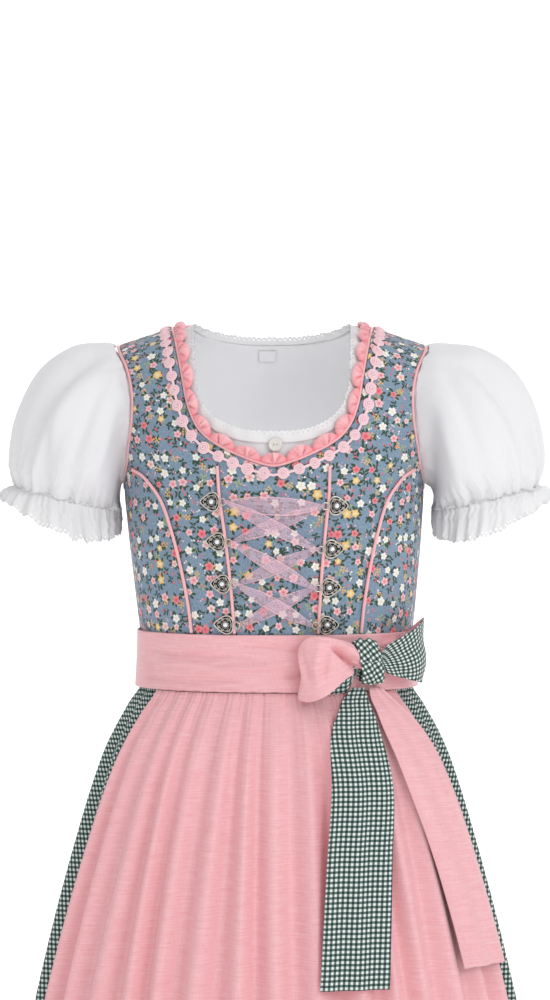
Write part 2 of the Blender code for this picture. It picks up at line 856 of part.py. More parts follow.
def blouse_back_grids():
    halves = []
    for side in (1, -1):
        halves.append(back_edges(side, BLOUSE_NECK_BACK, BLOUSE_HEM_LEVEL, NECK_POINTS, BLOUSE_HEIGHTS))
    (right_centre, right_side), (left_centre, left_side) = halves
    right = ruled(right_side, right_centre, BLOUSE_COLUMNS)
    left = ruled(left_centre, left_side, BLOUSE_COLUMNS)
    outer = []
    inner = []
    for right_row, left_row in zip(right, left):
        places = right_row + left_row
        outer.append([torso_skin(angle, level, -BLOUSE_DEPTH) for angle, level in places])
        inner.append([torso_skin(angle, level, -BLOUSE_DEPTH - THIN_WALL) for angle, level in places])
    return outer, inner


# the two halves part along the neckline and are one piece below it
def blouse_back():
    outer, inner = blouse_back_grids()
    middle = BLOUSE_COLUMNS
    trim_edges(outer, inner, SEAM_GAP / 2, "top left right")
    points = []
    index = {}
    for layer, grid in (("o", outer), ("i", inner)):
        for i, row in enumerate(grid):
            for j, point in enumerate(row):
                if j == middle + 1 and i >= len(NECK_POINTS):
                    index[layer, i, j] = index[layer, i, middle]
                else:
                    index[layer, i, j] = len(points)
                    points.append(point)
    faces = []
    rows = len(outer)
    columns = len(outer[0])
    for i in range(rows - 1):
        for j in range(columns - 1):
            if j == middle:
                continue
            down = [(i, j), (i + 1, j), (i + 1, j + 1), (i, j + 1)]
            across = [(i, j), (i, j + 1), (i + 1, j + 1), (i + 1, j)]
            faces.append([index["o", *corner] for corner in down])
            faces.append([index["i", *corner] for corner in across])
    edges = []
    for j in range(columns - 1):
        if j != middle:
            edges.append(((0, j + 1), (0, j)))
            edges.append(((rows - 1, j), (rows - 1, j + 1)))
    for i in range(rows - 1):
        edges.append(((i, 0), (i + 1, 0)))
        edges.append(((i + 1, columns - 1), (i, columns - 1)))
    for i in range(len(NECK_POINTS)):
        edges.append(((i + 1, middle), (i, middle)))
        edges.append(((i, middle + 1), (i + 1, middle + 1)))
    for a, b in edges:
        faces.append([index["o", *a], index["i", *a], index["i", *b], index["o", *b]])
    cleaned = []
    for face in faces:
        kept = []
        for corner in face:
            if corner not in kept:
                kept.append(corner)
        if len(kept) > 2:
            cleaned.append(tuple(reversed(kept)))
    add_node("blouse_back", points, cleaned, "white")


def seam_piping(name, places):
    centres = []
    rings = []
    lift = SEAM_GAP + PIPING_RADIUS
    for point, side, normal in loop_frames(places, False):
        centres.append(point + normal * lift)
        rings.append(round_ring(side, normal, PIPING_RADIUS, PIPING_RADIUS, PIPING_SIDES))
    add_tube(name, centres, rings, "satin")


def edge_piping(name, places, opening):
    centres = []
    rings = []
    for point, side, normal in loop_frames(places, True):
        reach = PIPING_RADIUS + SEAM_GAP
        if side.dot(opening - point) < 0:
            reach = -reach
        centres.append(point + side * reach - normal * CLOTH_WALL / 2)
        rings.append(round_ring(side, normal, PIPING_RADIUS, PIPING_RADIUS, PIPING_SIDES))
    add_tube(name, centres, rings, "satin", True)


def neck_frill():
    places = neck_loop(NECK_FRONT, NECK_BACK, FRILL_PUFFS * 2)
    centres = []
    rings = []
    for n, (point, side, normal) in enumerate(loop_frames(places, True)):
        size = 1.0 if n % 2 else FRILL_PINCH
        side = toward_opening(point, side)
        centres.append(point + side * FRILL_REACH + normal * FRILL_LIFT)
        width = FRILL_HALF_WIDTH * size
        height = FRILL_HALF_HEIGHT * size
        rings.append(round_ring(side, normal, width, height, FRILL_SIDES, math.pi / 2))
    add_tube("neck_frill", centres, rings, "pink", True)


def rose_braid():
    base = neck_loop(NECK_FRONT, NECK_BACK, BRAID_ROSES * 2)
    moved = []
    for place, frame in zip(base, loop_frames(base, True)):
        moved.append(slide(place, toward_opening(frame[0], frame[1]) * BRAID_REACH))
    centres = []
    rings = []
    for n, (point, side, normal) in enumerate(loop_frames(moved, True)):
        size = 1.0 if n % 2 else BRAID_PINCH
        centres.append(point + normal * BRAID_LIFT)
        width = BRAID_HALF_WIDTH * size
        height = BRAID_HALF_HEIGHT * size
        rings.append(round_ring(side, normal, width, height, BRAID_SIDES))
    add_tube("rosette_braid", centres, rings, "rose", True)


def toward_opening(point, side):
    if side.dot(NECK_MIDDLE - point) < 0:
        return -side
    return side


def lace_edge():
    base = neck_loop(BLOUSE_NECK_FRONT, BLOUSE_NECK_BACK, LACE_STEPS)
    frames = loop_frames(base, True)
    outer = []
    inner = []
    for reach in (LACE_WIDTH, -LACE_OVERLAP):
        outer_row = []
        inner_row = []
        for point, side, normal in frames:
            spot = point + toward_opening(point, side) * reach
            outer_row.append(spot + normal * (LACE_LIFT + LACE_WALL - BLOUSE_DEPTH))
            inner_row.append(spot + normal * (LACE_LIFT - BLOUSE_DEPTH))
        outer.append(outer_row)
        inner.append(inner_row)
    add_wall("blouse_neck_lace", outer, inner, "white", True)


def add_hook(name, side, height):
    start = row_at(CENTRE_SEAM, height)[0] + HEART_START

    def spot(p, q, out):
        return on_torso(side * (start + p), height + q, out)

    ring_outer = []
    ring_hole = []
    for degrees in RING_ANGLES:
        turn = math.radians(degrees)
        ring_outer.append((-RING_SET_BACK + RING_OUTER * math.cos(turn), RING_OUTER * math.sin(turn)))
        ring_hole.append((-RING_SET_BACK + RING_HOLE * math.cos(turn), RING_HOLE * math.sin(turn)))
    points = []
    heart = len(HEART_OUTLINE)
    ring = len(RING_ANGLES)
    for p, q in HEART_OUTLINE:
        points.append(spot(p, q, HEART_BOTTOM))
    for p, q in HEART_OUTLINE:
        points.append(spot(p, q, HOOK_TOP))
    first = 0
    last = heart - 1
    top = heart
    mid_first = len(points)
    mid_last = mid_first + 1
    points.append(spot(HEART_OUTLINE[0][0], HEART_OUTLINE[0][1], RING_BOTTOM))
    points.append(spot(HEART_OUTLINE[-1][0], HEART_OUTLINE[-1][1], RING_BOTTOM))
    low_outer = len(points)
    for out in (RING_BOTTOM, HOOK_TOP):
        for outline in (ring_outer, ring_hole):
            for p, q in outline:
                points.append(spot(p, q, out))
    low_hole = low_outer + ring
    high_outer = low_hole + ring
    high_hole = high_outer + ring
    faces = [tuple(range(heart)), tuple(range(2 * heart - 1, heart - 1, -1))]
    for n in range(1, heart - 2):
        faces.append((n, n + heart, n + heart + 1, n + 1))
    faces.append((first, mid_first, top, top + 1, 1))
    faces.append((last - 1, last - 1 + heart, last + heart, mid_last, last))
    faces.append((last, mid_last, mid_first, first))
    for n in range(ring - 1):
        faces.append((low_outer + n, low_outer + n + 1, low_hole + n + 1, low_hole + n))
        faces.append((high_outer + n + 1, high_outer + n, high_hole + n, high_hole + n + 1))
        faces.append((low_outer + n, high_outer + n, high_outer + n + 1, low_outer + n + 1))
        faces.append((low_hole + n + 1, high_hole + n + 1, high_hole + n, low_hole + n))
    end = ring - 1
    faces.append((low_hole, high_hole, high_hole + end, low_hole + end))
    faces.append((low_outer + end, mid_last, mid_first, low_outer, low_hole, low_hole + end))
    faces.append((high_hole + end, high_hole, high_outer, top, top + last, high_outer + end))
    faces.append((mid_first, top, high_outer, low_outer))
    faces.append((low_outer + end, high_outer + end, top + last, mid_last))
    add_node(name, points, faces, "silver", False)


def ring_spot(side, height):
    return side * (row_at(CENTRE_SEAM, height)[0] + HEART_START - RING_SET_BACK)


def lacing():
    left = [(ring_spot(-1, height), height) for height in HOOK_LEVELS_LEFT]
    right = [(ring_spot(1, height), height) for height in HOOK_LEVELS_RIGHT]
    stops = [left[3], right[2], left[1], right[0], left[0], right[1], left[2], right[3]]
    path = []
    for n in range(len(stops) - 1):
        start = stops[n]
        end = stops[n + 1]
        heading = 1 if end[0] > start[0] else -1
        begin_x = start[0] + heading * LACE_SET_IN
        end_x = end[0] - heading * LACE_SET_IN
        arch = LACE_ARCH if n == LACE_TOP_SPAN else 0.0
        upper_heading = -1 if n <= LACE_TOP_SPAN else 1
        start_out = LACE_UPPER if heading == upper_heading else LACE_LOWER
        end_out = start_out
        if n == LACE_TOP_SPAN:
            start_out = LACE_UPPER
            end_out = LACE_LOWER
        for share, width in LACE_SHAPE:
            x = begin_x + (end_x - begin_x) * share
            z = start[1] + (end[1] - start[1]) * share
            z += arch * 4 * share * (1 - share)
            swing = smooth_step((share - LACE_SWING) / LACE_SWING_SPAN)
            out = start_out + (end_out - start_out) * swing
            path.append((x, z, out, max(LACE_HALF_WIDTH * width, LACE_PINCH), False))
        if n < len(stops) - 2:
            middle = (LACE_UPPER + LACE_LOWER) / 2
            turn_x = end[0] - heading * RING_BAR
            for sign in (1, -1):
                out = middle + (end_out - middle) * LACE_TURN * sign
                path.append((turn_x, end[1], out, LACE_PINCH, True))
    outer = [[], []]
    inner = [[], []]
    centres = [on_torso(x, z, out) for x, z, out, half, turning in path]
    for n, (x, z, out, half, turning) in enumerate(path):
        before = centres[max(n - 1, 0)]
        after = centres[min(n + 1, len(centres) - 1)]
        along = (after - before).normalized()
        normal = torso_frame(*torso_place(x, z))[2]
        side = Vector((0, 0, 1))
        side = side - along * side.dot(along)
        if not turning:
            side = side - normal * side.dot(normal)
        side.normalize()
        thick = along.cross(side).normalized() * LACE_RIBBON_WALL / 2
        outer[0].append(centres[n] + side * half + thick)
        outer[1].append(centres[n] - side * half + thick)
        inner[0].append(centres[n] + side * half - thick)
        inner[1].append(centres[n] - side * half - thick)
    add_wall("lacing_ribbon", outer, inner, "sheer")


def oval_point(values, angle, height, out=0.0):
    half, front, back = values[:3]
    power = 2 / SQUARENESS
    depth = front if math.cos(angle) >= 0 else back
    x = half * signed_power(math.sin(angle), power)
    y = -depth * signed_power(math.cos(angle), power)
    if out == 0:
        return Vector((x, y, height))
    small = 0.002
    ahead = oval_point(values, angle + small, height)
    behind = oval_point(values, angle - small, height)
    side = (ahead - behind).normalized()
    return Vector((x, y, height)) + Vector((side.y, -side.x, 0)) * out


def apron_band():
    outer = []
    inner = []
    for height in BAND_ROWS:
        values = row_at(BAND, height)
        outer_row = []
        inner_row = []
        for n in range(BAND_STEPS):
            angle = 2 * math.pi * n / BAND_STEPS
            outer_row.append(oval_point(values, angle, height))
            inner_row.append(oval_point(values, angle, height, -CLOTH_WALL))
        outer.append(outer_row)
        inner.append(inner_row)
    add_wall("apron_band", outer, inner, "pink", True)


def uneven(index, seed):
    return math.sin(index * 12.9898 + seed * 78.233) * 0.5 + math.sin(index * 4.137 + seed * 3.71) * 0.5


def skirt_half(name, first, folds):
    grid = []
    for height in SKIRT_ROWS:
        half, front, back, fold = row_at(SKIRT, height)
        row = []
        for n in range(folds * FOLD_STEPS + 1):
            turn = n / FOLD_STEPS
            angle = first + math.pi * turn / folds
            size = 1 + FOLD_VARIATION * uneven(round(turn), 1.0)
            fade = min(1.0, min(turn, folds - turn) + EDGE_FOLD)
            out = fold * size * fade * math.cos(2 * math.pi * turn)
            row.append(oval_point((half, front, back), angle, height, out))
        grid.append(row)
    normals = mesh_normals(grid, False)
    inner = []
    for row, normal_row in zip(grid, normals):
        normal_row[0] = Vector((math.copysign(1, row[0].x), 0, 0))
        normal_row[-1] = Vector((math.copysign(1, row[-1].x), 0, 0))
        inner.append([point - normal * CLOTH_WALL for point, normal in zip(row, normal_row)])
    trim_edges(grid, inner, SEAM_GAP, "left right")
    add_wall(name, grid, inner, "gingham")


def apron_lift(height):
    fold = row_at(SKIRT, height)[3]
    own = row_at(APRON, height)[1]
    return (fold + own) * FOLD_REACH + APRON_CLEAR + CLOTH_WALL


def apron_panel():
    grid = []
    for height in APRON_ROWS:
        values = row_at(SKIRT, height)
        half_angle, fold = row_at(APRON, height)
        row = []
        for n in range(APRON_FOLDS * FOLD_STEPS + 1):
            turn = n / FOLD_STEPS
            angle = math.radians(half_angle) * (2 * turn / APRON_FOLDS - 1)
            size = 1 + FOLD_VARIATION * uneven(round(turn), 2.0)
            out = apron_lift(height) + fold * size * math.cos(2 * math.pi * turn)
            row.append(oval_point(values, angle, height, out))
        grid.append(row)
    thick_wall("apron_panel", grid, CLOTH_WALL, "pink")


def cover_lift(height):
    if height >= COVER_START:
        return 0.0
    cover = row_at(SKIRT, height)[0] + apron_lift(height) + row_at(APRON, height)[1] * FOLD_REACH
    return max(cover - row_at(BAND, height)[0], 0.0)


def bow_loop(name, table, kind, inward):
    widest = table[len(table) // 2][3]
    grid = []
    for across in (1.0, 0.5, 0.0, -0.5, -1.0):
        row = []
        for degrees, lift, height, half in table:
            values = row_at(BAND, height)
            level = height + half * across
            swell = BOW_SWELL * math.cos(math.pi * across) * half / widest
            out = lift + swell + cover_lift(level)
            row.append(oval_point(values, math.radians(degrees), level, out))
        grid.append(row)
    thick_wall(name, grid, BOW_WALL, kind, False, inward)


def bow_knot():
    values = row_at(BAND, KNOT_HEIGHT)
    angle = math.radians(KNOT_ANGLE)
    base = oval_point(values, angle, KNOT_HEIGHT)
    normal = (oval_point(values, angle, KNOT_HEIGHT, 0.01) - base).normalized()
    side = Vector((-normal.y, normal.x, 0))
    grid = []
    for along, size in KNOT_SHAPE:
        row = []
        for n in range(KNOT_STEPS):
            turn = 2 * math.pi * n / KNOT_STEPS
            spot = base + normal * KNOT_LIFT + side * along
            spot += normal * KNOT_HALF_DEPTH * size * math.cos(turn)
            spot += Vector((0, 0, 1)) * KNOT_HALF_HEIGHT * size * math.sin(turn)
            row.append(spot)
        grid.append(row)
    thick_wall("bow_knot", grid, BOW_WALL, "gingham", True, 1)


def bow_tail(name, table, kind):
    grid = []
    for height, degrees, half, lift in table:
        values = row_at(SKIRT, height)
        out = apron_lift(height) + row_at(APRON, height)[1] * FOLD_REACH + lift
        if height > BAND[0][0]:
            values = row_at(BAND, height)
            out = lift
        row = []
        for j in range(TAIL_COLUMNS + 1):
            spread = half * (2 * j / TAIL_COLUMNS - 1) / values[0]
            row.append(oval_point(values, math.radians(degrees) + spread, height, out))
        grid.append(row)
    thick_wall(name, grid, BOW_WALL, kind)


def sleeve_point(side, guides, theta):
    top = Vector((side * guides[1], 0.0, guides[2]))
    bottom = Vector((side * guides[3], 0.0, guides[4]))
    front = Vector((side * guides[5], guides[6], guides[7]))
    back = Vector((side * guides[8], guides[9], guides[10]))
    return four_way(top, front, bottom, back, theta)


def four_way(top, front, bottom, back, theta):
    middle = (top + front + bottom + back) / 4
    twist = ((top + bottom) - (front + back)) / 4
    ring = middle + (top - bottom) / 2 * math.cos(theta) + (front - back) / 2 * math.sin(theta)
    return ring + twist * math.cos(2 * theta)


def sleeve(side, tag):
    places = armhole_loop(side, SLEEVE_STEPS)
    frames = loop_frames(places, True)
    middle = Vector((0, 0, 0))
    for frame in frames:
        middle += frame[0] / len(frames)
    grid = []
    for lift, set_in in SLEEVE_START:
        base = []
        for point, across, normal in frames:
            toward = across if across.dot(middle - point) > 0 else -across
            base.append(point + normal * lift + toward * set_in)
        grid.append(base)
    quarter = SLEEVE_STEPS // 4
    start = [base[0], base[quarter], base[2 * quarter], base[3 * quarter]]
    rest = []
    for n in range(SLEEVE_STEPS):
        theta = 2 * math.pi * n / SLEEVE_STEPS
        rest.append(base[n] - four_way(start[0], start[1], start[2], start[3], theta))
    for station, guides in enumerate(SLEEVE):
        row = []
        centre = sleeve_centre(side, guides)
        for n in range(SLEEVE_STEPS):
            theta = 2 * math.pi * n / SLEEVE_STEPS
            spot = sleeve_point(side, guides, theta) + rest[n] * guides[0]
            gather = SLEEVE_GATHER[station] * (1 if n % 2 else -1)
            row.append(spot + (spot - centre).normalized() * gather)
        grid.append(row)
    thick_wall("sleeve_" + tag, grid, THIN_WALL, "white", True, -side)
    frill = []
    for station, guides in enumerate(CUFF_FRILL):
        row = []
        centre = sleeve_centre(side, guides)
        for n in range(SLEEVE_STEPS):
            theta = 2 * math.pi * n / SLEEVE_STEPS
            spot = sleeve_point(side, guides, theta)
            gather = FRILL_GATHER[station] * (1 if n % 2 else -1)
            row.append(spot + (spot - centre).normalized() * gather)
        frill.append(row)
    thick_wall("cuff_frill_" + tag, frill, THIN_WALL, "white", True, -side)


def sleeve_centre(side, guides):
    return Vector((side * (guides[1] + guides[3]) / 2, 0.0, (guides[2] + guides[4]) / 2))


def button():
    angle, level = torso_place(*BUTTON_SPOT)
    normal = torso_frame(angle, level)[2]
    base = torso_skin(angle, level, -BLOUSE_DEPTH + BUTTON_LIFT)
    side = Vector((0, 0, 1)).cross(normal).normalized()
    centres = [base, base + normal * BUTTON_THICKNESS * 0.6, base + normal * BUTTON_THICKNESS]
    upward = normal.cross(side)
    rings = []
    for size in (0.82, 1.0, 0.86):
        radius = BUTTON_RADIUS * size
        rings.append(round_ring(side, upward, radius, radius, 12))
    add_tube("blouse_button", centres, rings, "pearl")


def size_label():
    outer = []
    inner = []
    lift = -BLOUSE_DEPTH - THIN_WALL - LABEL_CLEAR
    for up in (1, -1):
        outer_row = []
        inner_row = []
        for across in (-1, 0, 1):
            x = LABEL_SPOT[0] + across * LABEL_HALF[0]
            z = LABEL_SPOT[1] + up * LABEL_HALF[1]
            angle, level = torso_place(x, z, False)
            if x == 0:
                angle = math.pi
            outer_row.append(torso_skin(angle, level, lift))
            inner_row.append(torso_skin(angle, level, lift - LABEL_WALL))
        outer.append(outer_row)
        inner.append(inner_row)
    add_wall("size_label", outer, inner, "white")


neck_places = bodice_centre()[1:-1]
for side, tag in ((-1, "left"), (1, "right")):
    inner_edge, outer_edge = bodice_front(side, tag)
    upper = len(UPPER_ROWS) + 1
    princess_seam = outer_edge[upper:]
    side_top = bodice_side(side, tag, princess_seam)
    centre_edge, side_edge = bodice_back(side, tag)
    seam_piping("centre_piping_" + tag, inner_edge[upper + 1:-1])
    start = between(princess_seam[0], princess_seam[1], PRINCESS_START)
    seam_piping("princess_piping_" + tag, [start] + princess_seam[1:-1])
    back_top = [place for place in side_edge[1:] if place[1] > ARMPIT_LEVEL + 0.0001]
    armhole = outer_edge[:upper + 1] + side_top + back_top[::-1]
    opening = Vector((side * ARMHOLE_MIDDLE[0], 0, ARMHOLE_MIDDLE[1]))
    edge_piping("armhole_piping_" + tag, armhole, opening)
    front_neck = inner_edge[upper::-1]
    back_neck = centre_edge[1:len(NECK_POINTS) + 1]
    if side > 0:
        neck_places = neck_places + front_neck + back_neck
    else:
        neck_places = (front_neck + back_neck[:-1])[::-1] + neck_places
    blouse_front(side, tag)
    sleeve(side, tag)
    levels = HOOK_LEVELS_LEFT if side < 0 else HOOK_LEVELS_RIGHT
    for number, height in enumerate(levels):
        add_hook("hook_%s_%d" % (tag, number + 1), side, height)

blouse_back()
edge_piping("neck_piping", neck_places, NECK_MIDDLE)
neck_frill()
rose_braid()
lace_edge()
lacing()
apron_band()
skirt_half("skirt_front", -math.pi / 2, SKIRT_FOLDS // 2)
skirt_half("skirt_back", math.pi / 2, SKIRT_FOLDS // 2)
apron_panel()
bow_loop("bow_loop_left", BOW_LEFT, "pink", -1)
bow_loop("bow_loop_right", BOW_RIGHT, "gingham", 1)
bow_knot()
bow_tail("bow_tail_left", TAIL_LEFT, "gingham")
bow_tail("bow_tail_right", TAIL_RIGHT, "pink")
button()
size_label()
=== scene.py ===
import math

import bmesh
import bpy
import numpy as np
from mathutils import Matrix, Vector


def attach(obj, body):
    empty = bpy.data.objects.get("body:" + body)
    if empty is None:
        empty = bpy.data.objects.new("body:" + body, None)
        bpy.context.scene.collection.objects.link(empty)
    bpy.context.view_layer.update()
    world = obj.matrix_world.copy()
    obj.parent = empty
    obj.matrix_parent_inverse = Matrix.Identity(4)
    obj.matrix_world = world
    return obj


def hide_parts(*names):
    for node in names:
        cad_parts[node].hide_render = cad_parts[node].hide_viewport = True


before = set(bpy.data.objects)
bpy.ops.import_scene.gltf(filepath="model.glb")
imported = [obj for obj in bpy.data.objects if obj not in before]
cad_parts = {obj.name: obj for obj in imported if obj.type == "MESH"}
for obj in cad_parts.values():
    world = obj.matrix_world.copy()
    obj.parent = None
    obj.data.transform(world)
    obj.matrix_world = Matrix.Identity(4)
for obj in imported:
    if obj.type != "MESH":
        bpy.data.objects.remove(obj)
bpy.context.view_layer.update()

# metres, in the frame of the solids: front faces -y, x to the right of the front view
cloth = {
    "wall": 0.0015, "thin": 0.0012, "seamGap": 0.0003, "blouseDepth": 0.0046, "squareness": 2.2,
    "piping": 0.0013,
    "rollHeight": 0.030, "rollPower": 0.6, "armpit": -0.119, "waist": -0.262, "blouseHem": -0.215,
    "lean": -0.0035, "foldReach": 1.24, "armhole": (0.122, -0.060),
    "neckMiddle": Vector((-0.0035, 0.0, -0.0100)),
}
shoulder = {"height": 0.0125, "slope": 0.35, "spread": 0.0941, "softness": 0.035}

# level, half width, front depth, back depth
torsoTable = [
    (-0.2800, 0.1090, 0.0850, 0.0805), (-0.2620, 0.1090, 0.0848, 0.0803),
    (-0.2450, 0.1098, 0.0862, 0.0805), (-0.2320, 0.1120, 0.0885, 0.0812),
    (-0.1900, 0.1165, 0.0930, 0.0838), (-0.1500, 0.1205, 0.0980, 0.0880),
    (-0.1190, 0.1226, 0.1000, 0.0905), (-0.0900, 0.1275, 0.0970, 0.0900),
    (-0.0500, 0.1350, 0.0970, 0.0900), (-0.0200, 0.1420, 0.0970, 0.0900),
    (0.0000, 0.1470, 0.0970, 0.0900),
]
# half width, height of the necklines
neckFront = [
    (0.0000, -0.0995), (0.0140, -0.0962), (0.0270, -0.0913), (0.0380, -0.0862), (0.0490, -0.0800),
    (0.0590, -0.0712), (0.0655, -0.0602), (0.0700, -0.0465), (0.0730, -0.0300), (0.0758, -0.0150),
    (0.0790, 0.0000), (0.0820, 0.0148),
]
neckBack = [(0.0000, -0.0060), (0.0300, -0.0045), (0.0550, 0.0010), (0.0720, 0.0080), (0.0820, 0.0148)]
blouseNeckFront = [
    (0.0000, -0.0775), (0.0185, -0.0768), (0.0335, -0.0738), (0.0475, -0.0672), (0.0590, -0.0572),
    (0.0660, -0.0430), (0.0692, -0.0265), (0.0698, -0.0100), (0.0710, 0.0180),
]
blouseNeckBack = [(0.0000, 0.0037), (0.0220, 0.0042), (0.0450, 0.0080), (0.0600, 0.0125), (0.0710, 0.0180)]
# height, half width of the seams
armholeFront = [
    (-0.1190, 0.1226), (-0.1130, 0.1215), (-0.1060, 0.1200), (-0.0960, 0.1180), (-0.0830, 0.1158),
    (-0.0700, 0.1135), (-0.0500, 0.1118), (-0.0310, 0.1130), (-0.0170, 0.1172), (-0.0060, 0.1225),
    (0.0005, 0.1250),
]
armholeBack = [
    (-0.1190, 0.1226), (-0.1120, 0.1215), (-0.0980, 0.1195), (-0.0850, 0.1175), (-0.0700, 0.1160),
    (-0.0500, 0.1150), (-0.0310, 0.1160), (-0.0170, 0.1190), (-0.0060, 0.1230), (0.0005, 0.1250),
]
princessTable = [
    (-0.2620, 0.0655), (-0.2330, 0.0668), (-0.2100, 0.0692), (-0.1880, 0.0730), (-0.1673, 0.0770),
    (-0.1450, 0.0830), (-0.1228, 0.0910), (-0.1095, 0.1010), (-0.0975, 0.1178),
]
centreTable = [
    (-0.2620, 0.0315), (-0.2300, 0.0330), (-0.1930, 0.0355), (-0.1595, 0.0385), (-0.1250, 0.0427),
    (-0.0825, 0.0450),
]
upperRows = [
    (0.0030, -0.0055), (-0.0120, -0.0200), (-0.0300, -0.0370), (-0.0480, -0.0540), (-0.0640, -0.0700),
    (-0.0745, -0.0850),
]
lowerRows = [
    (-0.0825, -0.0975), (-0.0985, -0.1080), (-0.1230, -0.1260), (-0.1500, -0.1510), (-0.1790, -0.1790),
    (-0.2070, -0.2070), (-0.2310, -0.2310), (-0.2620, -0.2620),
]
sideTop = [-0.1070, -0.1148]
neckPoints = [0.80, 0.55, 0.28, 0.0]
blouseNeckShares = [0.985, 0.960, 0.85, 0.62, 0.32, 0.0]
armholeHeights = [-0.0055, -0.0250, -0.0500, -0.0750, -0.0970, -0.1120, -0.1190]
backHeights = armholeHeights + [-0.1430, -0.1700, -0.2000, -0.2300, -0.2620]
blouseHeights = armholeHeights + [-0.1450, -0.1780, -0.2150]
# height, half width, front depth, back depth, and for the skirt its fold depth
bandTable = [(-0.2780, 0.1160, 0.0920, 0.0875), (-0.2550, 0.1148, 0.0905, 0.0860),
             (-0.2325, 0.1142, 0.0907, 0.0835)]
skirtTable = [
    (-0.7600, 0.2280, 0.1900, 0.1880, 0.0130), (-0.6200, 0.2040, 0.1700, 0.1660, 0.0120),
    (-0.5000, 0.1800, 0.1480, 0.1430, 0.0105), (-0.4000, 0.1560, 0.1260, 0.1210, 0.0085),
    (-0.3300, 0.1360, 0.1080, 0.1030, 0.0060), (-0.2950, 0.1200, 0.0950, 0.0900, 0.0035),
    (-0.2800, 0.1110, 0.0870, 0.0822, 0.0020), (-0.2700, 0.1092, 0.0852, 0.0806, 0.0013),
    (-0.2626, 0.1088, 0.0846, 0.0801, 0.0009),
]
# height, half angle in degrees, fold depth
apronTable = [
    (-0.7350, 60.0, 0.0080), (-0.6000, 59.0, 0.0070), (-0.4500, 57.5, 0.0055), (-0.3600, 56.0, 0.0040),
    (-0.3100, 55.0, 0.0024), (-0.2785, 54.0, 0.0010),
]


def rowAt(table, key):
    last = len(table) - 1
    if key <= table[0][0]:
        return table[0][1:]
    if key >= table[last][0]:
        return table[last][1:]
    k = 0
    while key > table[k + 1][0]:
        k += 1
    low, high = table[k], table[k + 1]
    before, after = table[max(k - 1, 0)], table[min(k + 2, last)]
    span = high[0] - low[0]
    t = (key - low[0]) / span
    values = []
    for n in range(1, len(low)):
        slopeLow = (high[n] - before[n]) / (high[0] - before[0]) * span
        slopeHigh = (after[n] - low[n]) / (after[0] - low[0]) * span
        value = low[n] * (2 * t ** 3 - 3 * t ** 2 + 1) + slopeLow * (t ** 3 - 2 * t ** 2 + t)
        value += high[n] * (3 * t ** 2 - 2 * t ** 3) + slopeHigh * (t ** 3 - t ** 2)
        values.append(value)
    return values


def shoulderHeight(x):
    return shoulder["height"] - shoulder["slope"] * (math.hypot(x, shoulder["softness"]) - shoulder["spread"])


def smoothStep(t):
    t = min(max(t, 0.0), 1.0)
    return t * t * (3 - 2 * t)


def signedPower(value, power):
    return math.copysign(abs(value) ** power, value)


def torsoPoint(angle, level):
    level = min(level, 0.0)
    half, front, back = rowAt(torsoTable, level)
    power = 2 / cloth["squareness"]
    x = half * signedPower(math.sin(angle), power)
    depth = front if math.cos(angle) >= 0 else back
    roll = (1 - math.exp(level / cloth["rollHeight"])) ** cloth["rollPower"]
    y = -depth * roll * signedPower(math.cos(angle), power)
    z = level + shoulderHeight(x) * smoothStep(1 - level / cloth["armpit"])
    return Vector((x + cloth["lean"] * smoothStep((level - cloth["waist"]) / -cloth["waist"]), y, z))


def torsoFrame(angle, level):
    small = 0.0002
    high = min(level + small, -0.000001)
    along = torsoPoint(angle + small, level) - torsoPoint(angle - small, level)
    upward = torsoPoint(angle, high) - torsoPoint(angle, high - 2 * small)
    return along / (2 * small), upward / (2 * small), along.cross(upward).normalized()


def torsoSkin(angle, level, out):
    return torsoPoint(angle, level) + torsoFrame(angle, level)[2] * out


search = {"steps": 60, "pull": 0.7, "slides": 2}


# the place on the body with a given x and height, found by steps
def torsoPlace(x, z, front=True):
    level = z
    for _ in range(search["steps"]):
        level += search["pull"] * (z - level - shoulderHeight(x) * smoothStep(1 - level / cloth["armpit"]))
        level = min(level, 0.0)
    sine = min(abs(x) / rowAt(torsoTable, level)[0], 1.0) ** (cloth["squareness"] / 2)
    angle = math.copysign(math.asin(sine), x)
    if not front:
        angle = math.copysign(math.pi, x) - angle
    return angle, level


def ridgePlace(x):
    return torsoPlace(x, 1.0)[0], 0.0


# a place on a seam, from its table of half widths by height
def seamPlace(side, table, height, front=True):
    return torsoPlace(side * rowAt(table, height)[0], height, front)


def slide(place, step):
    angle, level = place
    for _ in range(search["slides"]):
        along, upward = torsoFrame(angle, level)[:2]
        a, b, c = along.dot(along), along.dot(upward), upward.dot(upward)
        p, q = along.dot(step) / 2, upward.dot(step) / 2
        det = a * c - b * b
        angle += (p * c - q * b) / det
        level = min(level + (a * q - b * p) / det, 0.0)
    return angle, level


def between(start, end, share):
    return start[0] + (end[0] - start[0]) * share, start[1] + (end[1] - start[1]) * share


def ruled(left, right, columns):
    return [[between(a, b, j / columns) for j in range(columns + 1)] for a, b in zip(left, right)]


def ovalPoint(values, angle, height, out=0.0):
    half, front, back = values[:3]
    power = 2 / cloth["squareness"]
    depth = front if math.cos(angle) >= 0 else back
    across, along = signedPower(math.sin(angle), power), signedPower(math.cos(angle), power)
    spot = Vector((half * across, -depth * along, height))
    if out == 0:
        return spot
    side = (ovalPoint(values, angle + 0.002, height) - ovalPoint(values, angle - 0.002, height)).normalized()
    return spot + Vector((side.y, -side.x, 0)) * out


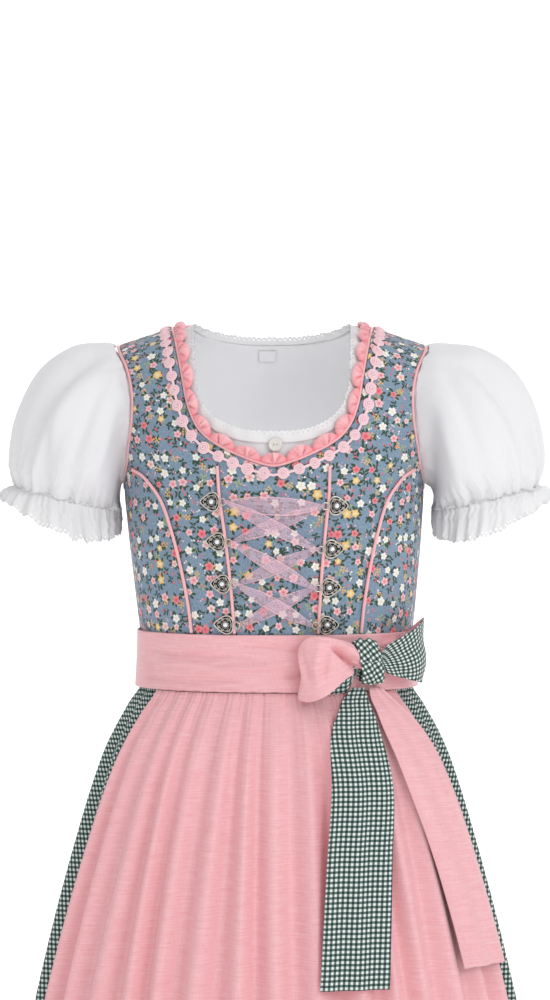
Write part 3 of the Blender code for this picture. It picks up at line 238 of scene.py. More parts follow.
def densePath(places, steps):
    points = [torsoPoint(angle, level) for angle, level in places]
    lengths = [0.0]
    for a, b in zip(points, points[1:]):
        lengths.append(lengths[-1] + (b - a).length)
    result = []
    k = 0
    for n in range(steps):
        target = lengths[-1] * n / steps
        while k < len(lengths) - 2 and lengths[k + 1] < target:
            k += 1
        share = (target - lengths[k]) / (lengths[k + 1] - lengths[k])
        result.append(between(places[k], places[k + 1], share))
    return result


def loopFrames(places, closed=True):
    count = len(places)
    points = [torsoPoint(angle, level) for angle, level in places]
    frames = []
    for n in range(count):
        if closed:
            step = points[(n + 1) % count] - points[(n - 1) % count]
        else:
            step = points[min(n + 1, count - 1)] - points[max(n - 1, 0)]
        normal = torsoFrame(*places[n])[2]
        along = (step - normal * step.dot(normal)).normalized()
        frames.append((points[n], normal.cross(along), normal))
    return frames


def halfLoop(front, back, side, fine=40):
    widths = [row[0] for row in front]
    places = []
    for n in range(fine):
        width = widths[-1] * n / fine
        places.append(torsoPlace(side * width, rowAt(front, width)[0]))
    top = ridgePlace(side * widths[-1])[0]
    places += [(top, 0.0), (side * math.pi - top, 0.0)]
    for n in range(fine - 1, -1, -1):
        width = widths[-1] * n / fine
        place = torsoPlace(side * width, rowAt(back, width)[0], False)
        places.append(place if width else (side * math.pi, torsoPlace(0.0, rowAt(back, 0)[0])[1]))
    return places


def neckLoop(front, back, steps):
    right = halfLoop(front, back, 1)
    left = [(2 * math.pi - angle, level) for angle, level in reversed(right[:-1])]
    return densePath(right + left, steps)


def towardOpening(point, side):
    return -side if side.dot(cloth["neckMiddle"] - point) < 0 else side


def shoulderTip(side):
    return ridgePlace(side * armholeFront[-1][1])


def armholeLoop(side, steps, fine=30):
    pit = cloth["armpit"]
    heights = [pit + (-0.002 - pit) * n / fine for n in range(fine + 1)]
    front = [seamPlace(side, armholeFront, height) for height in heights[:0:-1]]
    back = [seamPlace(side, armholeBack, height, False) for height in heights[1:]]
    tip = shoulderTip(side)
    places = [tip] + front + [(side * math.pi / 2, pit)] + back + [(side * math.pi - tip[0], 0.0)]
    return densePath(places, steps)


def refineLine(values, per, closed=False, breaks=()):
    count = len(values)
    t = (np.arange(per) / per).reshape((per,) + (1,) * (values.ndim - 1))
    pieces = []
    for k in range(count if closed else count - 1):
        low, high = values[k], values[(k + 1) % count]
        before, after = values[k - 1], values[(k + 2) % count]
        if not closed and (k == 0 or k in breaks):
            before = 2 * low - high
        if not closed and (k + 2 >= count or k + 1 in breaks):
            after = 2 * high - low
        curve = 2 * low + (high - before) * t + (2 * before - 5 * low + 4 * high - after) * t ** 2
        pieces.append(0.5 * (curve + (3 * low - before - 3 * high + after) * t ** 3))
    if not closed:
        pieces.append(values[-1:])
    return np.concatenate(pieces)


def refine(grid, perRow, perColumn, closed=False, breaks=()):
    fine = refineLine(np.asarray(grid, float), perRow, False, breaks)
    return np.swapaxes(refineLine(np.swapaxes(fine, 0, 1), perColumn, closed), 0, 1)


def unit(vectors):
    return vectors / np.maximum(np.linalg.norm(vectors, axis=-1, keepdims=True), 1e-12)


def gridNormals(grid, closed=False):
    if closed:
        across = np.roll(grid, -1, 1) - np.roll(grid, 1, 1)
    else:
        across = np.gradient(grid, axis=1)
    return unit(np.cross(across, -np.gradient(grid, axis=0)))


def arcLengths(points, axis):
    steps = np.linalg.norm(np.diff(points, axis=axis), axis=-1)
    zero = np.zeros_like(np.take(steps, [0], axis=axis))
    return np.concatenate([zero, np.cumsum(steps, axis=axis)], axis=axis)


# normals that point away from the middle, or from the standing axis
def outwardNormals(grid, middle):
    normals = gridNormals(grid, True)
    return normals * np.sign(((grid - middle) * normals).sum(-1).mean())


def axisNormals(grid, closed=False):
    normals = gridNormals(grid, closed)
    return normals * np.sign((grid * normals)[..., :2].sum(-1).mean())


def roundLengths(grid):
    return arcLengths(np.concatenate([grid, grid[:, :1]], 1), 1)


def flatGrid(across, down):
    return np.stack(np.broadcast_arrays(across, down[:, None]), -1)


# stretched a little, so that a whole number of scallops goes round
def wholeLace(lengths, pitch):
    return lengths / lengths[-1] * pitch * round(lengths[-1] / pitch)


# a refined closed grid, with the share of the way down and round of its points
def roundShell(coarse, perRow, perColumn):
    fine = refine(coarse, perRow, perColumn, True)
    down = np.linspace(0, 1, fine.shape[0])[:, None]
    return fine, down, np.linspace(0, 1, fine.shape[1], endpoint=False)[None]


def turnsOf(count):
    return [2 * math.pi * n / count for n in range(count)]


def scaled(creases, wider, deeper):
    return [(line, width * wider, height * deeper) for line, width, height in creases]


def mirrored(side, creases):
    return [([(side * x, z) for x, z in line], width, height) for line, width, height in creases]


def waves(x, seed, sizes):
    rng = np.random.default_rng(seed)
    total = np.zeros_like(x)
    for size in sizes:
        total += np.sin(2 * np.pi * x / size + rng.uniform(0, 6.28)) * rng.uniform(0.6, 1.0)
    return total / len(sizes)


# each crease is a line of (x, z) places, then its width and its height (troughs below zero)
def creased(points, normals, creases, front=True):
    lift = np.zeros(points.shape[:-1])
    side = (points[..., 1] < 0) if front else (points[..., 1] > 0)
    for line, width, height in creases:
        line = np.asarray(line, float)
        lengths = np.concatenate([[0], np.cumsum(np.linalg.norm(np.diff(line, axis=0), axis=1))])
        near = np.full(points.shape[:-1], 1e3)
        share = np.zeros_like(near)
        for k in range(len(line) - 1):
            step = line[k + 1] - line[k]
            flat = points[..., [0, 2]] - line[k]
            t = np.clip(flat @ step / (step @ step), 0, 1)
            away = np.linalg.norm(flat - t[..., None] * step, axis=-1)
            closer = away < near
            near = np.where(closer, away, near)
            share = np.where(closer, (lengths[k] + t * (lengths[k + 1] - lengths[k])) / lengths[-1], share)
        fade = np.sin(np.pi * np.clip(share * 0.9 + 0.05, 0, 1)) ** 0.7
        lift += height * fade * np.exp(-(near / width) ** 2)
    return points + normals * (lift * side)[..., None]


def newObject(name, data):
    piece = bpy.data.objects.new(name, data)
    bpy.context.scene.collection.objects.link(piece)
    return piece


def declare(piece, node):
    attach(piece, "root")
    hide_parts(node)
    return piece


def reworked(mesh, *steps):
    shell = bmesh.new()
    shell.from_mesh(mesh)
    for step in steps:
        step(shell)
    shell.to_mesh(mesh)
    shell.free()


def faceOut(shell):
    bmesh.ops.recalc_face_normals(shell, faces=shell.faces)


def addMesh(name, points, faces, uvs, surfaces, node, faceSurface=None):
    mesh = bpy.data.meshes.new(name)
    mesh.from_pydata(np.asarray(points).tolist(), [], faces.tolist() if hasattr(faces, "tolist") else faces)
    for surface in surfaces:
        mesh.materials.append(surface)
    if uvs is not None:
        layer = mesh.uv_layers.new(name="flat")
        layer.data.foreach_set("uv", np.asarray(uvs, np.float32).ravel())
    if faceSurface is not None:
        mesh.polygons.foreach_set("material_index", np.asarray(faceSurface, np.int32))
    reworked(mesh, faceOut)
    mesh.polygons.foreach_set("use_smooth", [True] * len(mesh.polygons))
    return declare(newObject(name, mesh), node)


# a closed wall between two grids; a closed loop takes a flat place grid one column wider
def addWall(name, outer, inner, flat, surfaces, node, closed=False, inside=0):
    rows, columns = outer.shape[:2]
    wide = flat.shape[1]
    steps = columns if closed else columns - 1
    i, j = [g.ravel() for g in np.meshgrid(np.arange(rows - 1), np.arange(steps), indexing="ij")]
    k = (j + 1) % columns
    a, b, c, d = i * columns + j, i * columns + k, (i + 1) * columns + k, (i + 1) * columns + j
    fa, fb, fc, fd = i * wide + j, i * wide + j + 1, (i + 1) * wide + j + 1, (i + 1) * wide + j
    size = rows * columns
    faces = [np.stack([a, d, c, b], 1), np.stack([a, b, c, d], 1) + size]
    spots = [np.stack([fa, fd, fc, fb], 1), np.stack([fa, fb, fc, fd], 1)]
    e = np.arange(steps)
    f = (e + 1) % columns
    end, fend = (rows - 1) * columns, (rows - 1) * wide
    faces += [np.stack([e, f, f + size, e + size], 1),
              np.stack([end + f, end + e, end + e + size, end + f + size], 1)]
    spots += [np.stack([e, e + 1, e + 1, e], 1),
              np.stack([fend + e + 1, fend + e, fend + e, fend + e + 1], 1)]
    if not closed:
        g = np.arange(rows - 1)
        for column in (0, columns - 1):
            h, m = g * columns + column, (g + 1) * columns + column
            p, q = g * wide + column, (g + 1) * wide + column
            faces.append(np.stack([m, h, h + size, m + size], 1))
            spots.append(np.stack([q, p, p, q], 1))
    sides = np.zeros(sum(len(x) for x in faces), int)
    sides[len(faces[0]):2 * len(faces[0])] = inside
    faces, spots = np.concatenate(faces), np.concatenate(spots)
    points = np.concatenate([outer.reshape(-1, 3), inner.reshape(-1, 3)])
    return addMesh(name, points, faces, flat.reshape(-1, 2)[spots.ravel()], surfaces, node, sides)


def arcOf():
    angles = np.linspace(-math.pi, 2 * math.pi, 721)
    points = np.array([torsoPoint(a, -0.19) for a in angles])
    lengths = arcLengths(points, 0)
    return angles, lengths - np.interp(0.0, angles, lengths)


arcTable = arcOf()


# how far up the cloth each level lies, so a print keeps its size over the shoulder
def levelsOf():
    levels = np.linspace(-0.32, 0.0, 321)
    points = np.array([[tuple(torsoPoint(a, level)) for level in levels] for a in (0.6, math.pi - 0.6)])
    lengths = arcLengths(points, 1).mean(0)
    return levels, lengths - np.interp(-0.19, levels, lengths) - 0.19


levelTable = levelsOf()


# the skin of the body at a grid of places, refined, with the flat place of each point
def torsoGrid(places, out, perRow, perColumn, breaks=(), shift=(0.0, 0.0)):
    rows = []
    for row in places:
        rows.append([(*torsoSkin(a, l, out), *torsoFrame(a, l)[2], a, l) for a, l in row])
    fine = refine(rows, perRow, perColumn, False, breaks)
    u, v = np.interp(fine[..., 6], *arcTable) + shift[0], np.interp(fine[..., 7], *levelTable) + shift[1]
    return fine[..., :3], unit(fine[..., 3:6]), np.stack([u, v], -1)


def trimmed(points, gap, sides):
    moved = points.copy()
    if "top" in sides:
        moved[0] += unit(points[1] - points[0]) * gap
    if "left" in sides:
        moved[:, 0] += unit(points[:, 1] - points[:, 0]) * gap
    if "right" in sides:
        moved[:, -1] += unit(points[:, -2] - points[:, -1]) * gap
    return moved


# the cut of a piece, worked out but not kept: its width and length are given or lie in its flat map, its area
# is its own cloth's
def declareCut(piece, size=None):
    areas = np.empty(len(piece.data.polygons))
    piece.data.polygons.foreach_get("area", areas)
    if size is None:
        flat = np.empty(len(piece.data.loops) * 2, np.float32)
        piece.data.uv_layers["flat"].data.foreach_get("uv", flat)
        size = np.ptp(flat.reshape(-1, 2), axis=0)


def torsoPiece(name, places, sides, per, breaks=(), creases=(), shift=(0, 0), front=True):
    blouse = name.startswith("blouse")
    out, wall = (-cloth["blouseDepth"], cloth["thin"]) if blouse else (0.0, cloth["wall"])
    surface, slot = (whiteSurface, "white") if blouse else (printSurface, "print")
    points, normals, flat = torsoGrid(places, out, per[0], per[1], breaks, shift)
    points = trimmed(creased(points, normals, creases, front), cloth["seamGap"] / 2, sides)
    piece = addWall(name + "_cloth", points, points - normals * wall, flat, [surface], name)
    declareCut(piece,
               (arcLengths(points, 1)[:, -1].max(), arcLengths(points, 0)[-1].max()))


print("stage: helpers ready")


def put(tree, kind, inputs=None, **facts):
    node = tree.nodes.new(kind)
    for key, value in facts.items():
        setattr(node, key, value)
    for key, value in (inputs or {}).items():
        if isinstance(value, bpy.types.NodeSocket):
            tree.links.new(value, node.inputs[key])
        else:
            node.inputs[key].default_value = value
    return node


def calc(tree, operation, first, second=0.0, third=0.0, clamp=False):
    values = {0: first, 1: second, 2: third}
    return put(tree, "ShaderNodeMath", values, operation=operation, use_clamp=clamp).outputs[0]


def blend(tree, share, first, second, kind="MIX"):
    pair = {}
    for index, value in ((6, first), (7, second)):
        pair[index] = value if isinstance(value, bpy.types.NodeSocket) or len(value) == 4 else (*value, 1.0)
    return put(tree, "ShaderNodeMix", {0: share, **pair}, data_type="RGBA", blend_type=kind).outputs[2]


def ramp(tree, factor, stops, kind="CONSTANT"):
    node = put(tree, "ShaderNodeValToRGB", {0: factor})
    node.color_ramp.interpolation = kind
    while len(node.color_ramp.elements) < len(stops):
        node.color_ramp.elements.new(0.5)
    for element, (place, colour) in zip(node.color_ramp.elements, stops):
        element.position = place
        element.color = (*colour, 1.0)
    return node.outputs[0]


def newSurface(name, colour, roughness, extra=None):
    surface = bpy.data.materials.new(name)
    surface.use_nodes = True
    tree = surface.node_tree
    shader = tree.nodes["Principled BSDF"]
    shader.inputs["Base Color"].default_value = (*colour, 1.0)
    shader.inputs["Roughness"].default_value = roughness
    for key, value in (extra or {}).items():
        shader.inputs[key].default_value = value
    return surface, tree, shader


def flatPlace(tree):
    place = put(tree, "ShaderNodeUVMap", uv_map="flat").outputs[0]
    split = put(tree, "ShaderNodeSeparateXYZ", {0: place})
    return place, split.outputs[0], split.outputs[1]


def noise(tree, place, scale, detail=3.0, stretch=None, roughness=0.5):
    if stretch:
        place = put(tree, "ShaderNodeVectorMath", {0: place, 1: stretch}, operation="MULTIPLY").outputs[0]
    facts = {"Vector": place, "Scale": scale, "Detail": detail, "Roughness": roughness}
    return put(tree, "ShaderNodeTexNoise", facts).outputs["Fac"]


def bump(tree, shader, height, strength, distance=0.001):
    facts = {"Height": height, "Strength": strength, "Distance": distance}
    tree.links.new(put(tree, "ShaderNodeBump", facts).outputs[0], shader.inputs["Normal"])


def threads(tree, u, v, pitch):
    first = calc(tree, "SINE", calc(tree, "MULTIPLY", u, 2 * math.pi / pitch))
    second = calc(tree, "SINE", calc(tree, "MULTIPLY", v, 2 * math.pi / pitch))
    return calc(tree, "MULTIPLY", first, second)


# the nearest cell's own turned places, and two numbers of its own from 0 to 1
def cells(tree, place, pitch, spread, shift):
    moved = put(tree, "ShaderNodeVectorMath", {0: place, 1: shift}, operation="ADD").outputs[0]
    facts = {"Vector": moved, "Scale": 1 / pitch, "Randomness": spread}
    found = put(tree, "ShaderNodeTexVoronoi", facts, voronoi_dimensions="2D", feature="F1")
    pair = {0: moved, 1: found.outputs["Position"]}
    local = put(tree, "ShaderNodeVectorMath", pair, operation="SUBTRACT").outputs[0]
    parts = put(tree, "ShaderNodeSeparateColor", {0: found.outputs["Color"]})
    turn = calc(tree, "MULTIPLY", parts.outputs[0], 2 * math.pi)
    turned = put(tree, "ShaderNodeVectorRotate", {"Vector": local, "Angle": turn}, rotation_type="Z_AXIS")
    split = put(tree, "ShaderNodeSeparateXYZ", {0: turned.outputs[0]})
    return split.outputs[0], split.outputs[1], parts.outputs[1], parts.outputs[2]


def oval(tree, x, y, centre, half, turn):
    c, s = math.cos(turn), math.sin(turn)
    dx = calc(tree, "SUBTRACT", x, centre[0])
    dy = calc(tree, "SUBTRACT", y, centre[1])
    p = calc(tree, "MULTIPLY_ADD", dx, c / half[0], calc(tree, "MULTIPLY", dy, s / half[0]))
    q = calc(tree, "MULTIPLY_ADD", dx, -s / half[1], calc(tree, "MULTIPLY", dy, c / half[1]))
    far = calc(tree, "MULTIPLY_ADD", p, p, calc(tree, "MULTIPLY", q, q))
    return calc(tree, "MULTIPLY", calc(tree, "SUBTRACT", 1.0, far), 3.0, clamp=True)


def ovals(tree, x, y, shapes):
    total = oval(tree, x, y, *shapes[0])
    for shape in shapes[1:]:
        total = calc(tree, "MAXIMUM", total, oval(tree, x, y, *shape))
    return total


# a tint laid over a colour where a mask shows, in the chosen cells
def laid(tree, colour, mask, shown, tint):
    return blend(tree, calc(tree, "MULTIPLY", mask, shown), colour, tint)


flowers = {
    "ground": (0.250, 0.345, 0.450), "groundDark": (0.120, 0.185, 0.270),
    # pitch, unevenness and shift of each kind's cells
    "sprigCells": (0.0094, 0.85, (0.31, 0.17, 0.0)), "budCells": (0.0060, 0.9, (0.07, 0.43, 0.0)),
    "dotCells": (0.0210, 0.8, (0.23, 0.61, 0.0)), "flowerCells": (0.0128, 0.66, (0.0, 0.0, 0.0)),
    "petals": [(0.0, (0.88, 0.87, 0.84)), (0.36, (0.86, 0.26, 0.28)), (0.52, (0.90, 0.58, 0.60)),
               (0.80, (0.84, 0.54, 0.17)), (0.90, (0.88, 0.72, 0.68))],
    "hearts": [(0.0, (0.82, 0.72, 0.56)), (0.36, (0.68, 0.08, 0.12)), (0.52, (0.82, 0.16, 0.20)),
               (0.80, (0.86, 0.76, 0.52)), (0.90, (0.82, 0.26, 0.24))],
    "leaf": (0.034, 0.072, 0.038), "leafPale": (0.36, 0.42, 0.22), "stem": (0.060, 0.110, 0.100),
    "buds": [(0.0, (0.82, 0.13, 0.17)), (0.50, (0.86, 0.42, 0.48)), (0.80, (0.86, 0.80, 0.74))],
    "yellow": (0.82, 0.50, 0.10),
    # each shape is its middle, its two half lengths and its turn, in metres
    "stemShapes": [((0.0, 0.0), (0.00022, 0.0040), 0.0), ((0.0014, -0.0002), (0.0022, 0.00020), 0.6)],
    "sprigShapes": [((0.0013, 0.0014), (0.0019, 0.00088), 0.75),
                    ((-0.0013, 0.0017), (0.0018, 0.00084), -0.70),
                    ((-0.0013, -0.0011), (0.0017, 0.00080), 0.45),
                    ((0.0012, -0.0018), (0.0018, 0.00080), -0.5)],
    "budShapes": [((0.0, 0.0), (0.00100, 0.00080), 0.0), ((0.0018, 0.0009), (0.00072, 0.00066), 0.0)],
    "dotSize": (0.00086, 0.00078),
    "dots": [(0.0, 0.0), (0.0019, 0.0008), (-0.0010, 0.0018), (-0.0016, -0.0010), (0.0009, -0.0019),
             (0.0012, 0.0027)],
    "leafSize": (0.0023, 0.00112), "leaves": [(0.4, 0.0044), (1.1, 0.0041), (3.3, 0.0044), (4.6, 0.0042)],
}


def flowerPrint():
    surface, tree, shader = newSurface("flower print", flowers["ground"], 0.82, {"Sheen Weight": 0.12})
    place, u, v = flatPlace(tree)
    heather = noise(tree, place, 950.0, 4.0, (1.0, 0.6, 1.0), 0.7)
    light = calc(tree, "MULTIPLY_ADD", heather, 4.2, -1.35, True)
    colour = blend(tree, light, flowers["groundDark"], flowers["ground"])
    # sprigs on thin stems
    x, y, one, two = cells(tree, place, *flowers["sprigCells"])
    shown = calc(tree, "GREATER_THAN", one, 0.14)
    colour = laid(tree, colour, ovals(tree, x, y, flowers["stemShapes"]), shown, flowers["stem"])
    green = blend(tree, calc(tree, "GREATER_THAN", two, 0.84), flowers["leaf"], flowers["leafPale"])
    colour = laid(tree, colour, ovals(tree, x, y, flowers["sprigShapes"]), shown, green)
    # small buds
    x, y, one, two = cells(tree, place, *flowers["budCells"])
    shown = calc(tree, "GREATER_THAN", one, 0.50)
    tint = ramp(tree, two, flowers["buds"])
    colour = laid(tree, colour, ovals(tree, x, y, flowers["budShapes"]), shown, tint)
    # yellow clusters
    x, y, one, two = cells(tree, place, *flowers["dotCells"])
    dots = [(spot, flowers["dotSize"], 0.3) for spot in flowers["dots"]]
    shown = calc(tree, "GREATER_THAN", one, 0.35)
    colour = laid(tree, colour, ovals(tree, x, y, dots), shown, flowers["yellow"])
    # flowers with leaves round them
    x, y, one, two = cells(tree, place, *flowers["flowerCells"])
    leaves = []
    for turn, far in flowers["leaves"]:
        leaves.append(((far * math.cos(turn), far * math.sin(turn)), flowers["leafSize"], turn + 0.35))
    shown = calc(tree, "GREATER_THAN", two, 0.10)
    colour = laid(tree, colour, ovals(tree, x, y, leaves), shown, flowers["leaf"])
    ragged = calc(tree, "MULTIPLY_ADD", noise(tree, place, 700.0, 2.0), 0.0010, -0.0005)
    radius = calc(tree, "SQRT", calc(tree, "MULTIPLY_ADD", x, x, calc(tree, "MULTIPLY", y, y)))
    radius = calc(tree, "ADD", radius, ragged)
    around = calc(tree, "ARCTAN2", y, x)
    lobes = calc(tree, "ABSOLUTE", calc(tree, "COSINE", calc(tree, "MULTIPLY", around, 2.5)))
    lobes = calc(tree, "POWER", lobes, 0.55)
    size = calc(tree, "MULTIPLY_ADD", two, 0.0015, 0.0026)
    edge = calc(tree, "MULTIPLY", size, calc(tree, "MULTIPLY_ADD", lobes, 0.42, 0.58))
    petal = calc(tree, "MULTIPLY", calc(tree, "SUBTRACT", edge, radius), 3000.0, clamp=True)
    heart = calc(tree, "MULTIPLY", calc(tree, "SUBTRACT", 0.00080, radius), 2500.0, clamp=True)
    deep = calc(tree, "MULTIPLY_ADD", calc(tree, "DIVIDE", radius, size), -1.9, 1.35, True)
    deep = calc(tree, "MAXIMUM", deep, calc(tree, "MULTIPLY_ADD", lobes, -0.8, 0.55, True))
    heartTint = ramp(tree, one, flowers["hearts"])
    tint = blend(tree, calc(tree, "MULTIPLY", deep, 0.70), ramp(tree, one, flowers["petals"]), heartTint)
    colour = laid(tree, colour, petal, shown, tint)
    colour = laid(tree, colour, heart, shown, heartTint)
    tree.links.new(colour, shader.inputs["Base Color"])
    bump(tree, shader, threads(tree, u, v, 0.0006), 0.12, 0.0001)
    return surface


ginghamFacts = {"period": 0.0040, "white": (0.80, 0.82, 0.80), "mid": (0.110, 0.185, 0.165),
                "dark": (0.006, 0.026, 0.022)}


def ginghamCloth():
    surface, tree, shader = newSurface("green gingham", ginghamFacts["mid"], 0.80, {"Sheen Weight": 0.1})
    place, u, v = flatPlace(tree)
    total = None
    for along in (u, v):
        share = calc(tree, "FRACT", calc(tree, "MULTIPLY", along, 1 / ginghamFacts["period"]))
        stripe = calc(tree, "GREATER_THAN", share, 0.5)
        total = stripe if total is None else calc(tree, "ADD", total, stripe)
    stops = list(zip((0.0, 0.25, 0.75), (ginghamFacts[key] for key in ("white", "mid", "dark"))))
    tint = ramp(tree, calc(tree, "MULTIPLY", total, 0.5), stops)
    fibre = calc(tree, "MULTIPLY_ADD", noise(tree, place, 2600.0), 0.5, 0.75)
    grey = put(tree, "ShaderNodeCombineColor", {0: fibre, 1: fibre, 2: fibre}).outputs[0]
    tree.links.new(blend(tree, 0.5, tint, grey, "MULTIPLY"), shader.inputs["Base Color"])
    bump(tree, shader, threads(tree, u, v, 0.0005), 0.15, 0.0001)
    return surface


pinkFacts = {"light": (0.93, 0.57, 0.59), "deep": (0.82, 0.37, 0.41)}


def dupion():
    extra = {"Sheen Weight": 0.35, "Sheen Roughness": 0.35, "Anisotropic": 0.4}
    surface, tree, shader = newSurface("pink dupion", pinkFacts["light"], 0.48, extra)
    place = flatPlace(tree)[0]
    slub = noise(tree, place, 420.0, 4.0, (0.10, 2.2, 1.0), 0.6)
    fine = noise(tree, place, 1500.0, 2.0, (0.8, 0.10, 1.0))
    mixed = calc(tree, "MULTIPLY_ADD", slub, 0.7, calc(tree, "MULTIPLY", fine, 0.3))
    light = calc(tree, "MULTIPLY_ADD", mixed, 2.6, -0.8, True)
    tint = blend(tree, light, pinkFacts["deep"], pinkFacts["light"])
    tree.links.new(tint, shader.inputs["Base Color"])
    bump(tree, shader, mixed, 0.35, 0.0003)
    return surface


def satinCloth(name, colour, roughness, scale=700.0):
    extra = {"Sheen Weight": 0.3, "Sheen Roughness": 0.3, "Coat Weight": 0.12, "Coat Roughness": 0.4}
    surface, tree, shader = newSurface(name, colour, roughness, extra)
    place = put(tree, "ShaderNodeTexCoord").outputs["Object"]
    bump(tree, shader, noise(tree, place, scale, 3.0), 0.25, 0.0002)
    return surface


# the flat map's second value is how deep a spot lies in a crease, and the colour darkens with it: painted
# crease shade
def frillTaffeta():
    extra = {"Sheen Weight": 0.4, "Sheen Roughness": 0.3, "Coat Weight": 0.15, "Coat Roughness": 0.35}
    surface, tree, shader = newSurface("frill taffeta", (0.94, 0.48, 0.50), 0.40, extra)
    depth = flatPlace(tree)[2]
    spot = put(tree, "ShaderNodeTexCoord").outputs["Object"]
    # painted shade: pale coral on the open cloth, deep coral in the creases, slits and pinches
    tree.links.new(blend(tree, depth, (0.95, 0.52, 0.54), (0.86, 0.15, 0.20)), shader.inputs["Base Color"])
    bump(tree, shader, noise(tree, spot, 900.0, 3.0), 0.30, 0.0002)
    return surface


def whiteCotton(name="white cotton", colour=(0.83, 0.83, 0.85), lace=None):
    surface, tree, shader = newSurface(name, colour, 0.80, {"Sheen Weight": 0.2})
    place, u, v = flatPlace(tree)
    weave = threads(tree, u, v, 0.0007)
    soft = noise(tree, place, 260.0, 4.0)
    bump(tree, shader, calc(tree, "MULTIPLY_ADD", weave, 0.25, soft), 0.30, 0.0003)
    if lace:
        near = calc(tree, "SUBTRACT", calc(tree, "FRACT", calc(tree, "MULTIPLY", u, 1 / lace["pitch"])), 0.5)
        near = calc(tree, "MULTIPLY", near, lace["pitch"])
        rise = calc(tree, "SUBTRACT", v, lace["eyeHeight"])
        eye = calc(tree, "SQRT", calc(tree, "MULTIPLY_ADD", near, near, calc(tree, "MULTIPLY", rise, rise)))
        open1 = calc(tree, "LESS_THAN", eye, lace["eyeRadius"])
        arch = calc(tree, "ABSOLUTE", calc(tree, "MULTIPLY", near, 2 / lace["pitch"]))
        dip = calc(tree, "MULTIPLY", calc(tree, "POWER", arch, 3.0), lace["scallop"])
        open2 = calc(tree, "LESS_THAN", v, dip)
        gone = calc(tree, "MAXIMUM", open1, open2)
        tree.links.new(calc(tree, "SUBTRACT", 1.0, gone), shader.inputs["Alpha"])
    return surface


laceFacts = {"reach": 0.0074, "wall": 0.0005, "height": 0.0098, "steps": 240, "pitch": 0.0046,
             "eyeHeight": 0.0026, "eyeRadius": 0.00065, "scallop": 0.0017}
cuffLaceFacts = {"pitch": 0.0046, "eyeHeight": 0.0028, "eyeRadius": 0.00070, "scallop": 0.0019}


def organza():
    extra = {"Sheen Weight": 0.5, "Sheen Roughness": 0.3}
    surface, tree, shader = newSurface("sheer organza", (0.88, 0.54, 0.66), 0.42, extra)
    place, v = flatPlace(tree)[::2]
    rim = calc(tree, "GREATER_THAN", calc(tree, "ABSOLUTE", v), 0.90)
    ply = calc(tree, "MULTIPLY_ADD", calc(tree, "SINE", calc(tree, "MULTIPLY", v, 11.0)), 0.03, 0.16)
    fibre = calc(tree, "MULTIPLY_ADD", noise(tree, place, 30.0, 3.0, (60.0, 1.0, 1.0)), 0.16, ply)
    alpha = calc(tree, "MAXIMUM", fibre, calc(tree, "MULTIPLY", rim, 0.72))
    tree.links.new(alpha, shader.inputs["Alpha"])
    tint = blend(tree, rim, (0.98, 0.68, 0.80), (0.98, 0.62, 0.68))
    tree.links.new(tint, shader.inputs["Base Color"])
    return surface


printSurface = flowerPrint()
ginghamSurface = ginghamCloth()
pinkSurface = dupion()
satinSurface = satinCloth("satin piping", (0.94, 0.49, 0.51), 0.30)
frillSurface = frillTaffeta()
roseSurface = satinCloth("rose braid", (0.93, 0.66, 0.71), 0.45)
whiteSurface = whiteCotton()
laceSurface = whiteCotton("neck lace", (0.86, 0.86, 0.87), laceFacts)
cuffLaceSurface = whiteCotton("cuff lace", (0.86, 0.86, 0.87), cuffLaceFacts)
organzaSurface = organza()
silverSurface = newSurface("antique silver", (0.66, 0.62, 0.56), 0.30, {"Metallic": 1.0})[0]
darkSilverSurface = newSurface("silver ground", (0.035, 0.04, 0.045), 0.60, {"Metallic": 0.6})[0]
crystalSurface = newSurface("clear crystal", (0.85, 0.88, 0.92), 0.04,
                            {"Metallic": 0.35, "Coat Weight": 1.0, "Specular IOR Level": 0.9})[0]
pearlSurface = newSurface("pearl button", (0.74, 0.71, 0.66), 0.22,
                          {"Coat Weight": 0.6, "Sheen Weight": 0.2})[0]
print("stage: surfaces ready")


# creases of the right side: a line of (x, z) places, then width and height
panelCreases = {
    "front": [
        ([(0.105, -0.090), (0.088, -0.106), (0.066, -0.112)], 0.0050, -0.0009),
        ([(0.112, -0.070), (0.096, -0.078)], 0.0045, 0.0007),
        ([(0.060, -0.215), (0.044, -0.232)], 0.0045, -0.0006),
    ],
    "side": [
        ([(0.112, -0.150), (0.096, -0.168)], 0.0045, -0.0008),
        ([(0.108, -0.205), (0.084, -0.222)], 0.0040, 0.0006),
    ],
    "centre": [
        ([(-0.020, -0.150), (0.010, -0.156)], 0.004, -0.0004),
        ([(-0.012, -0.205), (0.020, -0.200)], 0.004, 0.0004),
    ],
    "back": [
        ([(0.100, -0.088), (0.070, -0.104)], 0.0055, -0.0009),
        ([(0.050, -0.190), (0.012, -0.205)], 0.0050, -0.0008),
        ([(0.085, -0.225), (0.040, -0.236)], 0.0045, 0.0008),
    ],
}


# the outer edge of a front or back, from the shoulder down the armhole and the side
def seamEdge(side, table, heights, front=True):
    edge = [shoulderTip(side)]
    for height in heights:
        if height > cloth["armpit"]:
            edge.append(seamPlace(side, table, height, front))
        else:
            edge.append((side * math.pi / 2, height))
    return edge


def bodiceFront(side, tag):
    left = [ridgePlace(side * neckFront[-1][0])]
    right = [shoulderTip(side)]
    neck = [(row[1], row[0]) for row in neckFront]
    for neckHeight, armHeight in upperRows:
        left.append(seamPlace(side, neck, neckHeight))
        right.append(seamPlace(side, armholeFront, armHeight))
    for seamHeight, princessHeight in lowerRows:
        left.append(seamPlace(side, centreTable, seamHeight))
        right.append(seamPlace(side, princessTable, princessHeight))
    creases = mirrored(side, panelCreases["front"])
    torsoPiece("bodice_front_" + tag, ruled(left, right, 4), "top left right", (5, 8), (7,), creases,
               (0.003 * side, 0.002))
    return left, right


